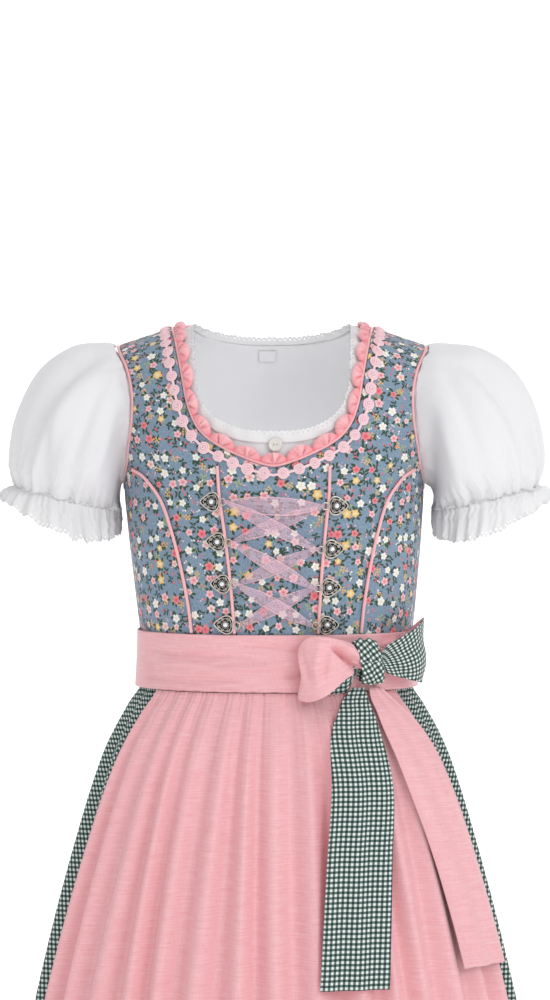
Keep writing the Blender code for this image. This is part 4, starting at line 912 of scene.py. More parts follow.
def bodiceSide(side, tag, princess):
    seam = []
    for n in range(len(princess)):
        share = n / (len(princess) - 1)
        seam.append((side * math.pi / 2, cloth["armpit"] + (cloth["waist"] - cloth["armpit"]) * share))
    places = ruled(princess, seam, 3)
    for j, height in enumerate(sideTop):
        top = seamPlace(side, armholeFront, height)
        shift = (top[0] - places[0][j + 1][0], top[1] - places[0][j + 1][1])
        for i in range(4):
            place = places[i][j + 1]
            places[i][j + 1] = (place[0] + shift[0] * (1 - i / 4), place[1] + shift[1] * (1 - i / 4))
    creases = mirrored(side, panelCreases["side"])
    torsoPiece("bodice_side_" + tag, places, "left right", (6, 8), (), creases, (0.0, 0.005))
    return places[0][1:]


def bodiceCentre():
    top = lowerRows[0][0]
    topHalf = rowAt(centreTable, top)[0]
    places = []
    for heights in lowerRows:
        share = (heights[0] - top) / (cloth["waist"] - top)
        half = rowAt(centreTable, heights[0])[0]
        row = []
        for j in range(7):
            across = 2 * j / 6 - 1
            height = top if abs(across) == 1 else rowAt(neckFront, abs(across) * topHalf)[0]
            row.append(torsoPlace(across * half, height + (cloth["waist"] - height) * share))
        places.append(row)
    torsoPiece("bodice_centre_front", places, "left right", (8, 8), (), panelCreases["centre"])
    return places[0]


def backEdges(side, neck, waist, heights):
    inner = [ridgePlace(side * neck[-1][0])]
    for share in neckPoints:
        width = neck[-1][0] * share
        place = torsoPlace(side * width, rowAt(neck, width)[0], False)
        inner.append(place if width else (side * math.pi, place[1]))
    start = inner[-1][1]
    lower = len(heights) - len(neckPoints)
    for n in range(1, lower + 1):
        inner.append((side * math.pi, start + (waist - start) * (n / lower) ** 1.5))
    return inner, seamEdge(side, armholeBack, heights, False)


def bodiceBack(side, tag):
    centre, outer = backEdges(side, neckBack, cloth["waist"], backHeights)
    creases = mirrored(side, panelCreases["back"])
    torsoPiece("bodice_back_" + tag, ruled(centre, outer, 6), "top left right", (6, 7), (4,), creases,
               front=False)
    return centre, outer


def blouseFront(side, tag):
    left = [ridgePlace(side * blouseNeckFront[-1][0])]
    for share in blouseNeckShares:
        width = blouseNeckFront[-1][0] * share
        left.append(torsoPlace(side * width, rowAt(blouseNeckFront, width)[0]))
    start = left[-1][1]
    lower = len(blouseHeights) - len(blouseNeckShares)
    for n in range(1, lower + 1):
        left.append((0.0, start + (cloth["blouseHem"] - start) * n / lower))
    places = ruled(left, seamEdge(side, armholeFront, blouseHeights), 6)
    torsoPiece("blouse_front_" + tag, places, "top left right", (5, 5), (6,))


def dropLoose(shell):
    bmesh.ops.delete(shell, geom=[v for v in shell.verts if not v.link_faces], context="VERTS")


# two halves joined down the middle, so the wall is open only along the neckline
def blouseBack():
    halves = [backEdges(side, blouseNeckBack, cloth["blouseHem"], blouseHeights) for side in (1, -1)]
    (rightCentre, rightSide), (leftCentre, leftSide) = halves
    pieces = []
    for start, end in ((rightSide, rightCentre), (leftCentre, leftSide)):
        pieces.append(torsoGrid(ruled(start, end, 6), -cloth["blouseDepth"], 5, 5, (4,)))
    columns = pieces[0][0].shape[1]
    outer, normals, flat = [np.concatenate(pair, 1) for pair in zip(*pieces)]
    outer = trimmed(outer, cloth["seamGap"] / 2, "top left right")
    inner = outer - normals * cloth["thin"]
    rows, wide = outer.shape[:2]
    split = 4 * 5  # rows above the foot of the neckline, where the halves part
    index = np.arange(rows * wide).reshape(rows, wide)
    index[split:, columns] = index[split:, columns - 1]
    size = rows * wide
    faces = []
    for i in range(rows - 1):
        for j in range(wide - 1):
            if j == columns - 1:
                continue
            a, b, c, d = index[i, j], index[i, j + 1], index[i + 1, j + 1], index[i + 1, j]
            faces += [(a, d, c, b), (a + size, b + size, c + size, d + size)]
    rims = [((0, j), (0, j + 1)) for j in range(wide - 1) if j != columns - 1]
    rims += [((rows - 1, j), (rows - 1, j + 1)) for j in range(wide - 1) if j != columns - 1]
    rims += [((i, j), (i + 1, j)) for i in range(rows - 1) for j in (0, wide - 1)]
    rims += [((i, j), (i + 1, j)) for i in range(split) for j in (columns - 1, columns)]
    for p, q in rims:
        a, b = index[p], index[q]
        faces.append((a, b, b + size, a + size))
    spots = np.concatenate([flat.reshape(-1, 2)] * 2)
    uvs = np.concatenate([spots[list(face)] for face in faces])
    points = np.concatenate([outer.reshape(-1, 3), inner.reshape(-1, 3)])
    faces = [tuple(int(n) for n in face) for face in faces]
    piece = addMesh("blouse_back_cloth", points, faces, uvs, [whiteSurface], "blouse_back")
    reworked(piece.data, dropLoose)
    widest = sum(arcLengths(half[0], 1)[:, -1].max() for half in pieces)
    declareCut(piece,
               (widest, arcLengths(pieces[0][0], 0)[-1].max()))


def tubeParts(centres, rings, closed):
    count, sides = rings.shape[:2]
    points = (centres[:, None] + rings).reshape(-1, 3)
    steps = count if closed else count - 1
    i, j = [g.ravel() for g in np.meshgrid(np.arange(steps), np.arange(sides), indexing="ij")]
    n, k = (i + 1) % count, (j + 1) % sides
    faces = np.stack([i * sides + j, i * sides + k, n * sides + k, n * sides + j], 1).tolist()
    if not closed:
        faces += [list(range(sides - 1, -1, -1)), list(range((count - 1) * sides, count * sides))]
    return points, faces


def joinParts(parts):
    points, faces, marks = [], [], []
    total = 0
    for part in parts:
        points.append(np.asarray(part[0]))
        faces += [[n + total for n in face] for face in part[1]]
        marks += [part[2] if len(part) > 2 else 0] * len(part[1])
        total += len(part[0])
    return np.concatenate(points), faces, marks


def roundTube(centres, radius, sides=8, closed=False):
    centres = np.asarray(centres, float)
    if closed:
        along = unit(np.roll(centres, -1, 0) - np.roll(centres, 1, 0))
    else:
        along = unit(np.gradient(centres, axis=0))
    start = np.cross(along[0], (0.3, 0.9, 0.2))
    side = unit(start - along * (along @ start)[:, None])
    up = np.cross(along, side)
    turns = np.arange(sides) * 2 * np.pi / sides
    size = np.broadcast_to(np.asarray(radius, float), (len(centres),))[:, None, None]
    rings = (side[:, None] * np.cos(turns)[None, :, None] + up[:, None] * np.sin(turns)[None, :, None]) * size
    return tubeParts(centres, rings, closed)


def pipingLine(places, closed, opening=None):
    line = []
    for point, side, normal in loopFrames(places, closed):
        reach = cloth["seamGap"] + cloth["piping"]
        if opening is None:
            line.append(point + normal * reach)
        else:
            reach = -reach if side.dot(opening - point) < 0 else reach
            line.append(point + side * reach - normal * cloth["wall"] / 2)
    return np.array([tuple(p) for p in line])


def piping(name, places, closed, opening=None):
    line = refineLine(pipingLine(places, closed, opening), 5, closed)
    grown(name + "_satin", pipingTree, line, closed, {"Radius": cloth["piping"]}, satinSurface, name)


frillFacts = {"strip": (0.020, 0.800), "puffs": 28, "near": 0.0023, "far": 0.0114, "pinch": 0.0046,
              "height": 0.0034, "under": 0.0016, "lift": -0.0002, "steps": 24, "sides": 26}


# gathered shells: folds fan out from a pinch beside the piping
def neckFrill():
    facts = frillFacts
    rng = np.random.default_rng(4)
    frames = loopFrames(neckLoop(neckFront, neckBack, facts["puffs"] * facts["steps"]))
    sizes = rng.uniform(0.88, 1.06, facts["puffs"])
    leans = rng.uniform(-0.35, 0.35, facts["puffs"])
    slits = rng.uniform(0.25, 0.75, facts["puffs"])
    turns = np.arange(facts["sides"]) * 2 * np.pi / facts["sides"]
    centres, rings, paintedShade = [], [], []
    for n, (point, side, normal) in enumerate(frames):
        side = np.array(towardOpening(point, side))
        normal = np.array(normal)
        turn = (n / facts["steps"] - 0.5) % facts["puffs"]
        puff = int(turn)
        share = turn - puff
        swell = max(math.sin(math.pi * (share + leans[puff] * 0.35 * share * (1 - share))), 0.0) ** 0.55
        far = facts["pinch"] + (facts["far"] * sizes[puff] - facts["pinch"]) * swell
        away = (1 + np.cos(turns)) / 2
        reach = facts["near"] + (far - facts["near"]) * away
        fan = np.arctan2((share - 0.5) * 0.0185, away * (far - facts["near"]) + 0.0016)
        up = np.sin(turns)
        body = np.where(up > 0, facts["height"] * np.abs(up) ** 0.8, -facts["under"] * np.abs(up))
        body = body * (0.30 + 0.70 * swell)
        fold = 0.00045 * np.cos(fan * 9 + leans[puff] * 6)
        slit = np.zeros_like(fan)
        first, lean = slits[puff], leans[puff]
        for middle, depth in ((first + 0.15, 1.0), (-first * 0.9, 0.85), (lean * 0.6, 0.6),
                              (first - 1.1, 0.6)):
            slit += depth * np.exp(-((fan - middle) / 0.085) ** 2) * np.clip(1.25 - away, 0, 1)
        rise = facts["lift"] + body + (fold - 0.0021 * slit) * np.clip(up, 0, 1) * swell
        # painted shade: how dark the frill's colour is painted, deepest in the slits, between the puffs and
        # near the pinch
        depth = slit * np.clip(up * 2, 0, 1) * 0.75 + (1 - swell) * 0.8 + 0.25 * (1 - away)
        paintedShade.append(np.clip(depth, 0, 1))
        centres.append(np.array(point))
        rings.append(side[None] * reach[:, None] + normal[None] * rise[:, None])
    points, faces = tubeParts(np.array(centres), np.array(rings), True)
    paintedShade = np.concatenate(paintedShade)
    uvs = np.array([(0.0, paintedShade[corner]) for face in faces for corner in face])
    piece = addMesh("neck_frill_cloth", points, faces, uvs, [frillSurface], "neck_frill")
    declareCut(piece, facts["strip"])


# a cap, bands between rings of points, and a foot
def domeFaces(sides, rings):
    faces = [[0, 1 + n, 1 + (n + 1) % sides] for n in range(sides)]
    for ring in range(rings - 1):
        for n in range(sides):
            a, b = 1 + ring * sides + n, 1 + ring * sides + (n + 1) % sides
            faces.append([a, a + sides, b + sides, b])
    last = 1 + rings * sides
    return faces + [[last, last - sides + (n + 1) % sides, last - sides + n] for n in range(sides)]


def domeParts(point, side, along, normal, radius, height, sides):
    points = [point + normal * height]
    for share, level in ((0.55, 0.80), (0.90, 0.42), (1.0, 0.0), (0.92, -0.30)):
        for a in turnsOf(sides):
            spoke = (side * math.cos(a) + along * math.sin(a)) * radius * share
            points.append(point + spoke + normal * height * level)
    points.append(point - normal * height * 0.35)
    return np.array(points), domeFaces(sides, 4)


roseFacts = {"roses": 52, "reach": -0.0064, "lift": 0.0012, "radius": 0.0047, "turns": 2.7, "thread": 0.00074,
             "dome": 0.0017, "cord": 0.0011, "steps": 6}


def newTree(name, sizes):
    tree = bpy.data.node_groups.new(name, "GeometryNodeTree")
    for way in ("INPUT", "OUTPUT"):
        tree.interface.new_socket("Geometry", in_out=way, socket_type="NodeSocketGeometry")
    for size in sizes:
        tree.interface.new_socket(size, in_out="INPUT", socket_type="NodeSocketFloat")
    return tree, tree.nodes.new("NodeGroupInput").outputs


def ringCurve(tree, corners, radius):
    return put(tree, "GeometryNodeCurvePrimitiveCircle", {"Resolution": corners, "Radius": radius}).outputs[0]


# a coiled satin thread on every marked point, and the cord that links them
def roseTree():
    tree, given = newTree("rose braid", ("Radius", "Turns", "Thread", "Dome", "Cord"))
    drop = calc(tree, "MULTIPLY", given["Dome"], -1.0)
    spiral = {"Resolution": 22, "Rotations": given["Turns"], "Start Radius": 0.0006,
              "End Radius": given["Radius"], "Height": drop}
    coil = put(tree, "GeometryNodeCurveSpiral", spiral).outputs[0]
    facts = {"Curve": coil, "Profile Curve": ringCurve(tree, 7, given["Thread"]), "Fill Caps": True}
    rose = put(tree, "GeometryNodeCurveToMesh", facts).outputs[0]
    lifted = put(tree, "ShaderNodeCombineXYZ", {"Z": given["Dome"]}).outputs[0]
    rose = put(tree, "GeometryNodeTransform", {"Geometry": rose, "Translation": lifted}).outputs[0]
    bed = put(tree, "GeometryNodeMeshIcoSphere", {"Radius": given["Radius"], "Subdivisions": 3}).outputs[0]
    bed = put(tree, "GeometryNodeTransform", {"Geometry": bed, "Scale": (1.0, 1.0, 0.20)}).outputs[0]
    whole = put(tree, "GeometryNodeJoinGeometry")
    tree.links.new(rose, whole.inputs[0])
    tree.links.new(bed, whole.inputs[0])
    marked = put(tree, "GeometryNodeInputNamedAttribute", {"Name": "rose"}, data_type="FLOAT").outputs[0]
    facing = put(tree, "GeometryNodeInputNamedAttribute", {"Name": "facing"},
                 data_type="FLOAT_VECTOR").outputs[0]
    turned = put(tree, "FunctionNodeAlignRotationToVector", {"Vector": facing}, axis="Z").outputs[0]
    facts = {"Min": (0.0, 0.0, 0.0), "Max": (0.0, 0.0, 6.28), "Seed": 5}
    spin = put(tree, "FunctionNodeRandomValue", facts, data_type="FLOAT_VECTOR").outputs[0]
    turned = put(tree, "FunctionNodeRotateRotation", {0: turned, 1: spin}, rotation_space="LOCAL").outputs[0]
    size = put(tree, "FunctionNodeRandomValue", {2: 0.93, 3: 1.07, "Seed": 8}, data_type="FLOAT").outputs[1]
    chosen = calc(tree, "GREATER_THAN", marked, 0.5)
    facts = {"Points": given["Geometry"], "Selection": chosen, "Instance": whole.outputs[0],
             "Rotation": turned, "Scale": size}
    placed = put(tree, "GeometryNodeInstanceOnPoints", facts).outputs[0]
    line = put(tree, "GeometryNodeMeshToCurve", {0: given["Geometry"]}).outputs[0]
    facts = {"Curve": line, "Profile Curve": ringCurve(tree, 8, given["Cord"])}
    cord = put(tree, "GeometryNodeCurveToMesh", facts).outputs[0]
    both = put(tree, "GeometryNodeJoinGeometry")
    tree.links.new(placed, both.inputs[0])
    tree.links.new(cord, both.inputs[0])
    return finishTree(tree, given, both.outputs[0])


def cordTree():
    tree, given = newTree("piping cord", ("Radius",))
    line = put(tree, "GeometryNodeMeshToCurve", {0: given["Geometry"]}).outputs[0]
    facts = {"Curve": line, "Profile Curve": ringCurve(tree, 10, given["Radius"]), "Fill Caps": True}
    return finishTree(tree, given, put(tree, "GeometryNodeCurveToMesh", facts).outputs[0])


def finishTree(tree, given, geometry):
    tree.interface.new_socket("Finish", in_out="INPUT", socket_type="NodeSocketMaterial")
    smooth = put(tree, "GeometryNodeSetShadeSmooth", {"Geometry": geometry}).outputs[0]
    real = put(tree, "GeometryNodeRealizeInstances", {0: smooth}).outputs[0]
    done = put(tree, "GeometryNodeSetMaterial", {"Geometry": real, "Material": given["Finish"]}).outputs[0]
    tree.links.new(done, tree.nodes.new("NodeGroupOutput").inputs[0])
    return tree


# runs a tree on a line of points and keeps the result as a plain mesh
def grown(name, tree, points, closed, sizes, surface, node, marks=None):
    count = len(points)
    edges = [(n, n + 1) for n in range(count - 1)] + ([(count - 1, 0)] if closed else [])
    base = bpy.data.meshes.new(name + " line")
    base.from_pydata(np.asarray(points).tolist(), edges, [])
    for key, kind, values in marks or []:
        layer = base.attributes.new(key, kind, "POINT")
        key = "vector" if kind == "FLOAT_VECTOR" else "value"
        layer.data.foreach_set(key, np.asarray(values, np.float32).ravel())
    piece = newObject(name, base)
    grower = piece.modifiers.new("grow", "NODES")
    grower.node_group = tree
    for item in tree.interface.items_tree:
        if item.in_out == "INPUT" and item.name in sizes:
            grower[item.identifier] = sizes[item.name]
        if item.in_out == "INPUT" and item.name == "Finish":
            grower[item.identifier] = surface
    bpy.context.view_layer.update()
    result = bpy.data.meshes.new_from_object(piece.evaluated_get(bpy.context.evaluated_depsgraph_get()))
    piece.modifiers.clear()
    piece.data = result
    reworked(result, faceOut)
    return declare(piece, node)


def roseBraid():
    facts = roseFacts
    base = neckLoop(neckFront, neckBack, facts["roses"] * facts["steps"])
    moved = []
    for place, frameAt in zip(base, loopFrames(base)):
        moved.append(slide(place, towardOpening(frameAt[0], frameAt[1]) * facts["reach"]))
    line, facing, marked = [], [], []
    for n, (point, _, normal) in enumerate(loopFrames(moved)):
        line.append(tuple(point + normal * facts["lift"]))
        facing.append(tuple(normal))
        marked.append(1.0 if n % facts["steps"] == facts["steps"] // 2 else 0.0)
    sizes = {name.capitalize(): facts[name] for name in ("radius", "turns", "thread", "dome", "cord")}
    marks = [("facing", "FLOAT_VECTOR", facing), ("rose", "FLOAT", marked)]
    grown("rosette_braid_roses", roseTree(), line, True, sizes, roseSurface, "rosette_braid", marks)


hookFacts = {
    "left": [-0.1265, -0.1580, -0.1915, -0.2240], "right": [-0.1297, -0.1637, -0.1945, -0.2243],
    "heartStart": 0.0012, "ringBack": 0.0042, "lift": 0.0026, "scale": 1.06, "setOut": 0.005,
    "middle": 0.0048, "wire": 0.00062, "innerWire": 0.00028, "scrollWire": 0.00024,
    "scrolls": [(0.0026, 0.0040, 0.0016), (0.0098, 0.0017, 0.0012), (0.0072, 0.0039, 0.0011)],
    "gemAt": 0.0050, "gem": [(0.0011, 0.0016), (0.0019, 0.0009), (0.0019, 0.0002)],
    "bead": (0.00042, 0.00038),
    "ring": 0.0025, "ringWire": 0.00055, "ringLift": 0.00385, "neckWire": 0.0007,
}
heartLine = [(-0.0002, 0.0000), (-0.0008, 0.0030), (0.0014, 0.0062), (0.0050, 0.0067), (0.0090, 0.0046),
             (0.0136, 0.0000), (0.0090, -0.0046), (0.0050, -0.0067), (0.0014, -0.0062), (-0.0008, -0.0030)]


def hook(tag, side, number, height):
    facts = hookFacts
    start = rowAt(centreTable, height)[0] + facts["heartStart"]
    angle, level = torsoPlace(side * (start + facts["setOut"]), height)
    base, normal = torsoPoint(angle, level), torsoFrame(angle, level)[2]
    outward = Vector((side, 0, 0))
    outward = (outward - normal * outward.dot(normal)).normalized()
    upward = normal.cross(outward) * side

    def spot(p, q, out):
        return np.array(base + outward * (p * grow - facts["setOut"]) + upward * q * grow + normal * out)

    def circle(middle, radius, count, out):
        return [spot(middle + radius * math.cos(a), radius * math.sin(a), out) for a in turnsOf(count)]

    grow, lift, middle, gemAt = facts["scale"], facts["lift"], facts["middle"], facts["gemAt"]
    outline = refineLine(np.array(heartLine), 6, True)
    line = np.array([spot(p, q, lift) for p, q in outline])
    parts = [roundTube(line, facts["wire"], 7, True)]
    inner = [spot(middle + (p - middle) * 0.74, q * 0.70, lift + 0.0002) for p, q in outline]
    parts.append(roundTube(inner, facts["innerWire"], 6, True))
    plate = [(middle + (p - middle) * 0.96, q * 0.95) for p, q in outline]
    count = len(plate)
    points = [spot(p, q, lift - 0.0004) for p, q in plate] + [spot(p, q, lift - 0.0010) for p, q in plate]
    points += [spot(middle, 0, lift + 0.0001), spot(middle, 0, lift - 0.0010)]
    faces = []
    for n in range(count):
        k = (n + 1) % count
        faces += [[n, k, 2 * count], [k + count, n + count, 2 * count + 1], [k, n, n + count, k + count]]
    parts.append((np.array(points), faces, 1))
    for sign in (1, -1):
        for p, q, size in facts["scrolls"]:
            scroll = []
            for k, turn in enumerate(np.linspace(0, 1.6 * 2 * math.pi, 22)):
                r = size * (1 - 0.75 * k / 21)
                scroll.append(spot(p + r * math.cos(turn), sign * (q + r * math.sin(turn)), lift + 0.0003))
            parts.append(roundTube(scroll, facts["scrollWire"], 6))
    axes = [np.array(axis) for axis in (outward, upward, normal)]
    for bead in circle(gemAt, 0.0027, 14, lift + 0.0005):
        parts.append(domeParts(bead, *axes, *facts["bead"], 8))
    parts.append(domeParts(spot(gemAt, 0, lift + 0.0002), *axes, 0.0023, 0.0005, 16))
    gem = [spot(gemAt, 0, lift + 0.0017)]
    for r, z in facts["gem"]:
        gem += circle(gemAt, r, 8, lift + z)
    gem.append(spot(gemAt, 0, lift + 0.0001))
    parts.append((np.array(gem), domeFaces(8, 3), 2))
    ring = circle(-facts["ringBack"], facts["ring"], 28, facts["ringLift"])
    parts.append(roundTube(ring, facts["ringWire"], 8, True))
    neck = [spot(-0.0020, 0, 0.0038), spot(-0.0010, 0, 0.0035), spot(0.0002, 0, lift + 0.0001)]
    parts.append(roundTube(refineLine(np.array(neck), 5), facts["neckWire"], 8))
    points, faces, marks = joinParts(parts)
    name = "hook_%s_%d" % (tag, number)
    surfaces = [silverSurface, darkSilverSurface, crystalSurface]
    addMesh(name + "_silver", points, faces, None, surfaces, name, marks)


laceRun = {
    "upper": 0.0056, "lower": 0.0021, "pinch": 0.0013, "half": 0.0054, "setIn": 0.0026,
    "topSpan": 3, "topWider": 1.36, "arch": -0.0018, "cutWidth": 0.0112,
    "swing": 0.42, "swingSpan": 0.16, "turn": 0.6, "bar": 0.0006, "wall": 0.0004,
    "shape": [(0.00, 0.18), (0.12, 0.52), (0.30, 0.90), (0.50, 1.00), (0.70, 0.90), (0.88, 0.52),
              (1.00, 0.18)],
}


def lacing():
    facts = laceRun

    def ringSpot(side, height):
        reach = rowAt(centreTable, height)[0] + hookFacts["heartStart"] - hookFacts["ringBack"]
        return side * reach, height

    left = [ringSpot(-1, height) for height in hookFacts["left"]]
    right = [ringSpot(1, height) for height in hookFacts["right"]]
    stops = [left[3], right[2], left[1], right[0], left[0], right[1], left[2], right[3]]
    path = []
    for n in range(7):
        start, end = stops[n], stops[n + 1]
        heading = 1 if end[0] > start[0] else -1
        beginX, endX = start[0] + heading * facts["setIn"], end[0] - heading * facts["setIn"]
        top = n == facts["topSpan"]
        arch = facts["arch"] if top else 0.0
        startOut = facts["upper"] if heading == (-1 if n <= facts["topSpan"] else 1) else facts["lower"]
        endOut = startOut
        if top:
            startOut, endOut = facts["upper"], facts["lower"]
        for share, width in facts["shape"]:
            x = beginX + (endX - beginX) * share
            z = start[1] + (end[1] - start[1]) * share + arch * 4 * share * (1 - share)
            out = startOut + (endOut - startOut) * smoothStep((share - facts["swing"]) / facts["swingSpan"])
            wide = facts["half"] * (facts["topWider"] if top else 1.0) * width
            path.append((x, z, out, max(wide, facts["pinch"]), 0))
        if n < 6:
            middle = (facts["upper"] + facts["lower"]) / 2
            for sign in (1, -1):
                out = middle + (endOut - middle) * facts["turn"] * sign
                path.append((end[0] - heading * facts["bar"], end[1], out, facts["pinch"], 1))
    centres = [torsoSkin(*torsoPlace(*stop[:2]), stop[2]) for stop in path]
    rows = []
    for n, (x, z, _, half, turning) in enumerate(path):
        along = (centres[min(n + 1, len(path) - 1)] - centres[max(n - 1, 0)]).normalized()
        normal = torsoFrame(*torsoPlace(x, z))[2]
        side = Vector((0, 0, 1))
        side = side - along * side.dot(along)
        if not turning:
            side = side - normal * side.dot(normal)
        side.normalize()
        rows.append((*centres[n], *side, *along.cross(side).normalized(), half))
    fine = refineLine(np.array(rows), 7)
    centre, side, thick, half = fine[:, :3], unit(fine[:, 3:6]), unit(fine[:, 6:9]), fine[:, 9]
    across = np.linspace(1, -1, 15)
    grid = centre[None] + side[None] * half[None, :, None] * across[:, None, None]
    squeeze = np.clip(1.15 - half / facts["half"], 0, 1)
    wave = np.cos(across[:, None] * 9.0 + np.arange(len(half))[None] * 0.05)
    fold = wave * (0.00010 + 0.00028 * squeeze[None])
    grid = grid + thick[None] * fold[..., None]
    lengths = arcLengths(centre, 0)
    flat = flatGrid(lengths, across)
    wall = thick[None] * facts["wall"] / 2
    piece = addWall("lacing_ribbon_organza", grid + wall, grid - wall, flat, [organzaSurface],
                    "lacing_ribbon")


def blouseLace():
    facts = laceFacts
    frames = loopFrames(neckLoop(blouseNeckFront, blouseNeckBack, facts["steps"]))
    rows = []
    for reach, rise in ((facts["reach"], 0.0020), (0.0050, 0.0017), (0.0022, 0.0013), (0.0002, 0.0010),
                        (-0.0024, 0.0008)):
        row = []
        for n, (point, side, normal) in enumerate(frames):
            wave = 0.0006 * math.sin(n * 0.9) * max(reach / facts["reach"], 0)
            away = rise - cloth["blouseDepth"] + wave
            row.append(tuple(point + towardOpening(point, side) * reach + normal * away))
        rows.append(row)
    outer = refine(rows, 2, 2, True)
    inner = outer - outwardNormals(outer, outer.mean((0, 1))) * facts["wall"]
    u = wholeLace(roundLengths(outer)[-1], facts["pitch"])
    flat = flatGrid(u, np.linspace(0, facts["height"], outer.shape[0]))
    piece = addWall("blouse_neck_lace_edge", outer, inner, flat, [laceSurface], "blouse_neck_lace",
                    True)
    declareCut(piece)


sleeveFacts = {
    "start": [(-0.0050, 0.0032), (-0.0008, 0.0045), (0.0024, 0.0043)],
    "rows": [
        (0.90, 0.1430, 0.0025, 0.1278, -0.1175, 0.1260, -0.0590, -0.0540, 0.1260, 0.0570, -0.0540),
        (0.40, 0.1680, -0.0020, 0.1292, -0.1225, 0.1390, -0.0680, -0.0650, 0.1390, 0.0660, -0.0650),
        (0.12, 0.1950, -0.0220, 0.1292, -0.1265, 0.1510, -0.0705, -0.0800, 0.1510, 0.0685, -0.0800),
        (0.03, 0.2130, -0.0560, 0.1288, -0.1300, 0.1610, -0.0675, -0.0980, 0.1610, 0.0655, -0.0980),
        (0.00, 0.2190, -0.0930, 0.1282, -0.1325, 0.1670, -0.0570, -0.1140, 0.1670, 0.0550, -0.1140),
        (0.00, 0.2125, -0.1160, 0.1276, -0.1350, 0.1697, -0.0430, -0.1262, 0.1697, 0.0425, -0.1262),
    ],
    "frill": [
        (0.00, 0.2128, -0.1165, 0.1277, -0.1356, 0.1697, -0.0433, -0.1268, 0.1697, 0.0428, -0.1268),
        (0.00, 0.2200, -0.1175, 0.1280, -0.1450, 0.1685, -0.0505, -0.1400, 0.1685, 0.0495, -0.1385),
        (0.00, 0.2275, -0.1235, 0.1300, -0.1555, 0.1655, -0.0575, -0.1560, 0.1655, 0.0555, -0.1520),
    ],
    "steps": 32, "seeds": {"left": 21, "right": 33}, "wall": 0.0009, "frillWall": 0.0007,
    # creases of the right sleeve; that sleeve's are wider and softer, and every second one is on the back too
    "creases": [
        ([(0.142, -0.006), (0.164, -0.020), (0.184, -0.044), (0.198, -0.074), (0.203, -0.092)], 0.0085,
         -0.0105),
        ([(0.1400, -0.0240), (0.158, -0.036), (0.174, -0.058), (0.187, -0.086)], 0.0090, 0.0044),
        ([(0.1350, -0.020), (0.148, -0.052), (0.160, -0.086), (0.168, -0.112)], 0.0060, -0.0034),
        ([(0.1300, -0.055), (0.138, -0.084), (0.146, -0.112)], 0.0050, 0.0026),
        ([(0.1800, -0.060), (0.186, -0.090), (0.187, -0.112)], 0.0042, -0.0036),
        ([(0.1600, -0.030), (0.176, -0.055), (0.186, -0.078)], 0.0080, 0.0016),
    ],
    "rightWider": 1.1, "softer": 0.8,
}


def fourWay(top, front, bottom, back, theta):
    middle = (top + front + bottom + back) / 4
    twist = ((top + bottom) - (front + back)) / 4
    ring = middle + (top - bottom) / 2 * math.cos(theta) + (front - back) / 2 * math.sin(theta)
    return ring + twist * math.cos(2 * theta)


def sleevePoint(side, g, theta):
    top, bottom = Vector((side * g[1], 0, g[2])), Vector((side * g[3], 0, g[4]))
    front, back = Vector((side * g[5], g[6], g[7])), Vector((side * g[8], g[9], g[10]))
    return fourWay(top, front, bottom, back, theta)


def sleeve(side, tag):
    facts = sleeveFacts
    steps = facts["steps"]
    frames = loopFrames(armholeLoop(side, steps))
    middle = sum((f[0] for f in frames), Vector()) / len(frames)
    grid = []
    for lift, setIn in facts["start"]:
        base = []
        for point, across, normal in frames:
            toward = across if across.dot(middle - point) > 0 else -across
            base.append(point + normal * lift + toward * setIn)
        grid.append(base)
    q = steps // 4
    turns = turnsOf(steps)
    rest = [base[n] - fourWay(base[0], base[q], base[2 * q], base[3 * q], turns[n]) for n in range(steps)]
    for guides in facts["rows"]:
        grid.append([sleevePoint(side, guides, turns[n]) + rest[n] * guides[0] for n in range(steps)])
    fine, s, ring = roundShell([[tuple(p) for p in row] for row in grid], 9, 8)
    normals = outwardNormals(fine, fine.mean(1, keepdims=True))
    seed = facts["seeds"][tag]
    low = np.clip((s - 0.60) / 0.40, 0, 1) ** 1.6
    high = np.clip((0.46 - s) / 0.30, 0, 1) * np.clip((s - 0.10) / 0.12, 0, 1)
    drift = 0.006 * waves(s * 1.0 + 0 * ring, seed + 5, (0.35, 0.6))
    small = waves(ring + drift, seed, (1 / 37, 1 / 23, 1 / 31))
    wide = waves(ring + drift * 1.5, seed + 1, (1 / 13, 1 / 9, 1 / 17))
    wander = 0.010 * waves(s + 0 * ring, seed + 11, (0.06, 0.09))
    crinkle = waves(ring + wander, seed + 12, (1 / 74, 1 / 91, 1 / 58))
    lift = low * (0.0022 * small + 0.0034 * wide + 0.0014 * crinkle) + high * (0.0008 * small + 0.0016 * wide)
    lift += 0.0012 * waves(ring * 1.0 + 0.25 * s, seed + 2, (1 / 5, 1 / 7)) * np.sin(np.pi * s) ** 0.8
    fine = fine + normals * lift[..., None]
    creases = mirrored(side, facts["creases"])
    if side > 0:
        creases = scaled(creases, facts["rightWider"], facts["softer"])
    fine = creased(fine, normals, creases)
    fine = creased(fine, normals, scaled(creases[::2], 1, facts["softer"]), False)
    inner = fine - normals * facts["wall"]
    flat = flatGrid(roundLengths(fine)[fine.shape[0] // 2], arcLengths(fine, 0).mean(1))
    name = "sleeve_" + tag
    piece = addWall(name + "_cloth", fine, inner, flat, [whiteSurface], name, True)
    declareCut(piece)


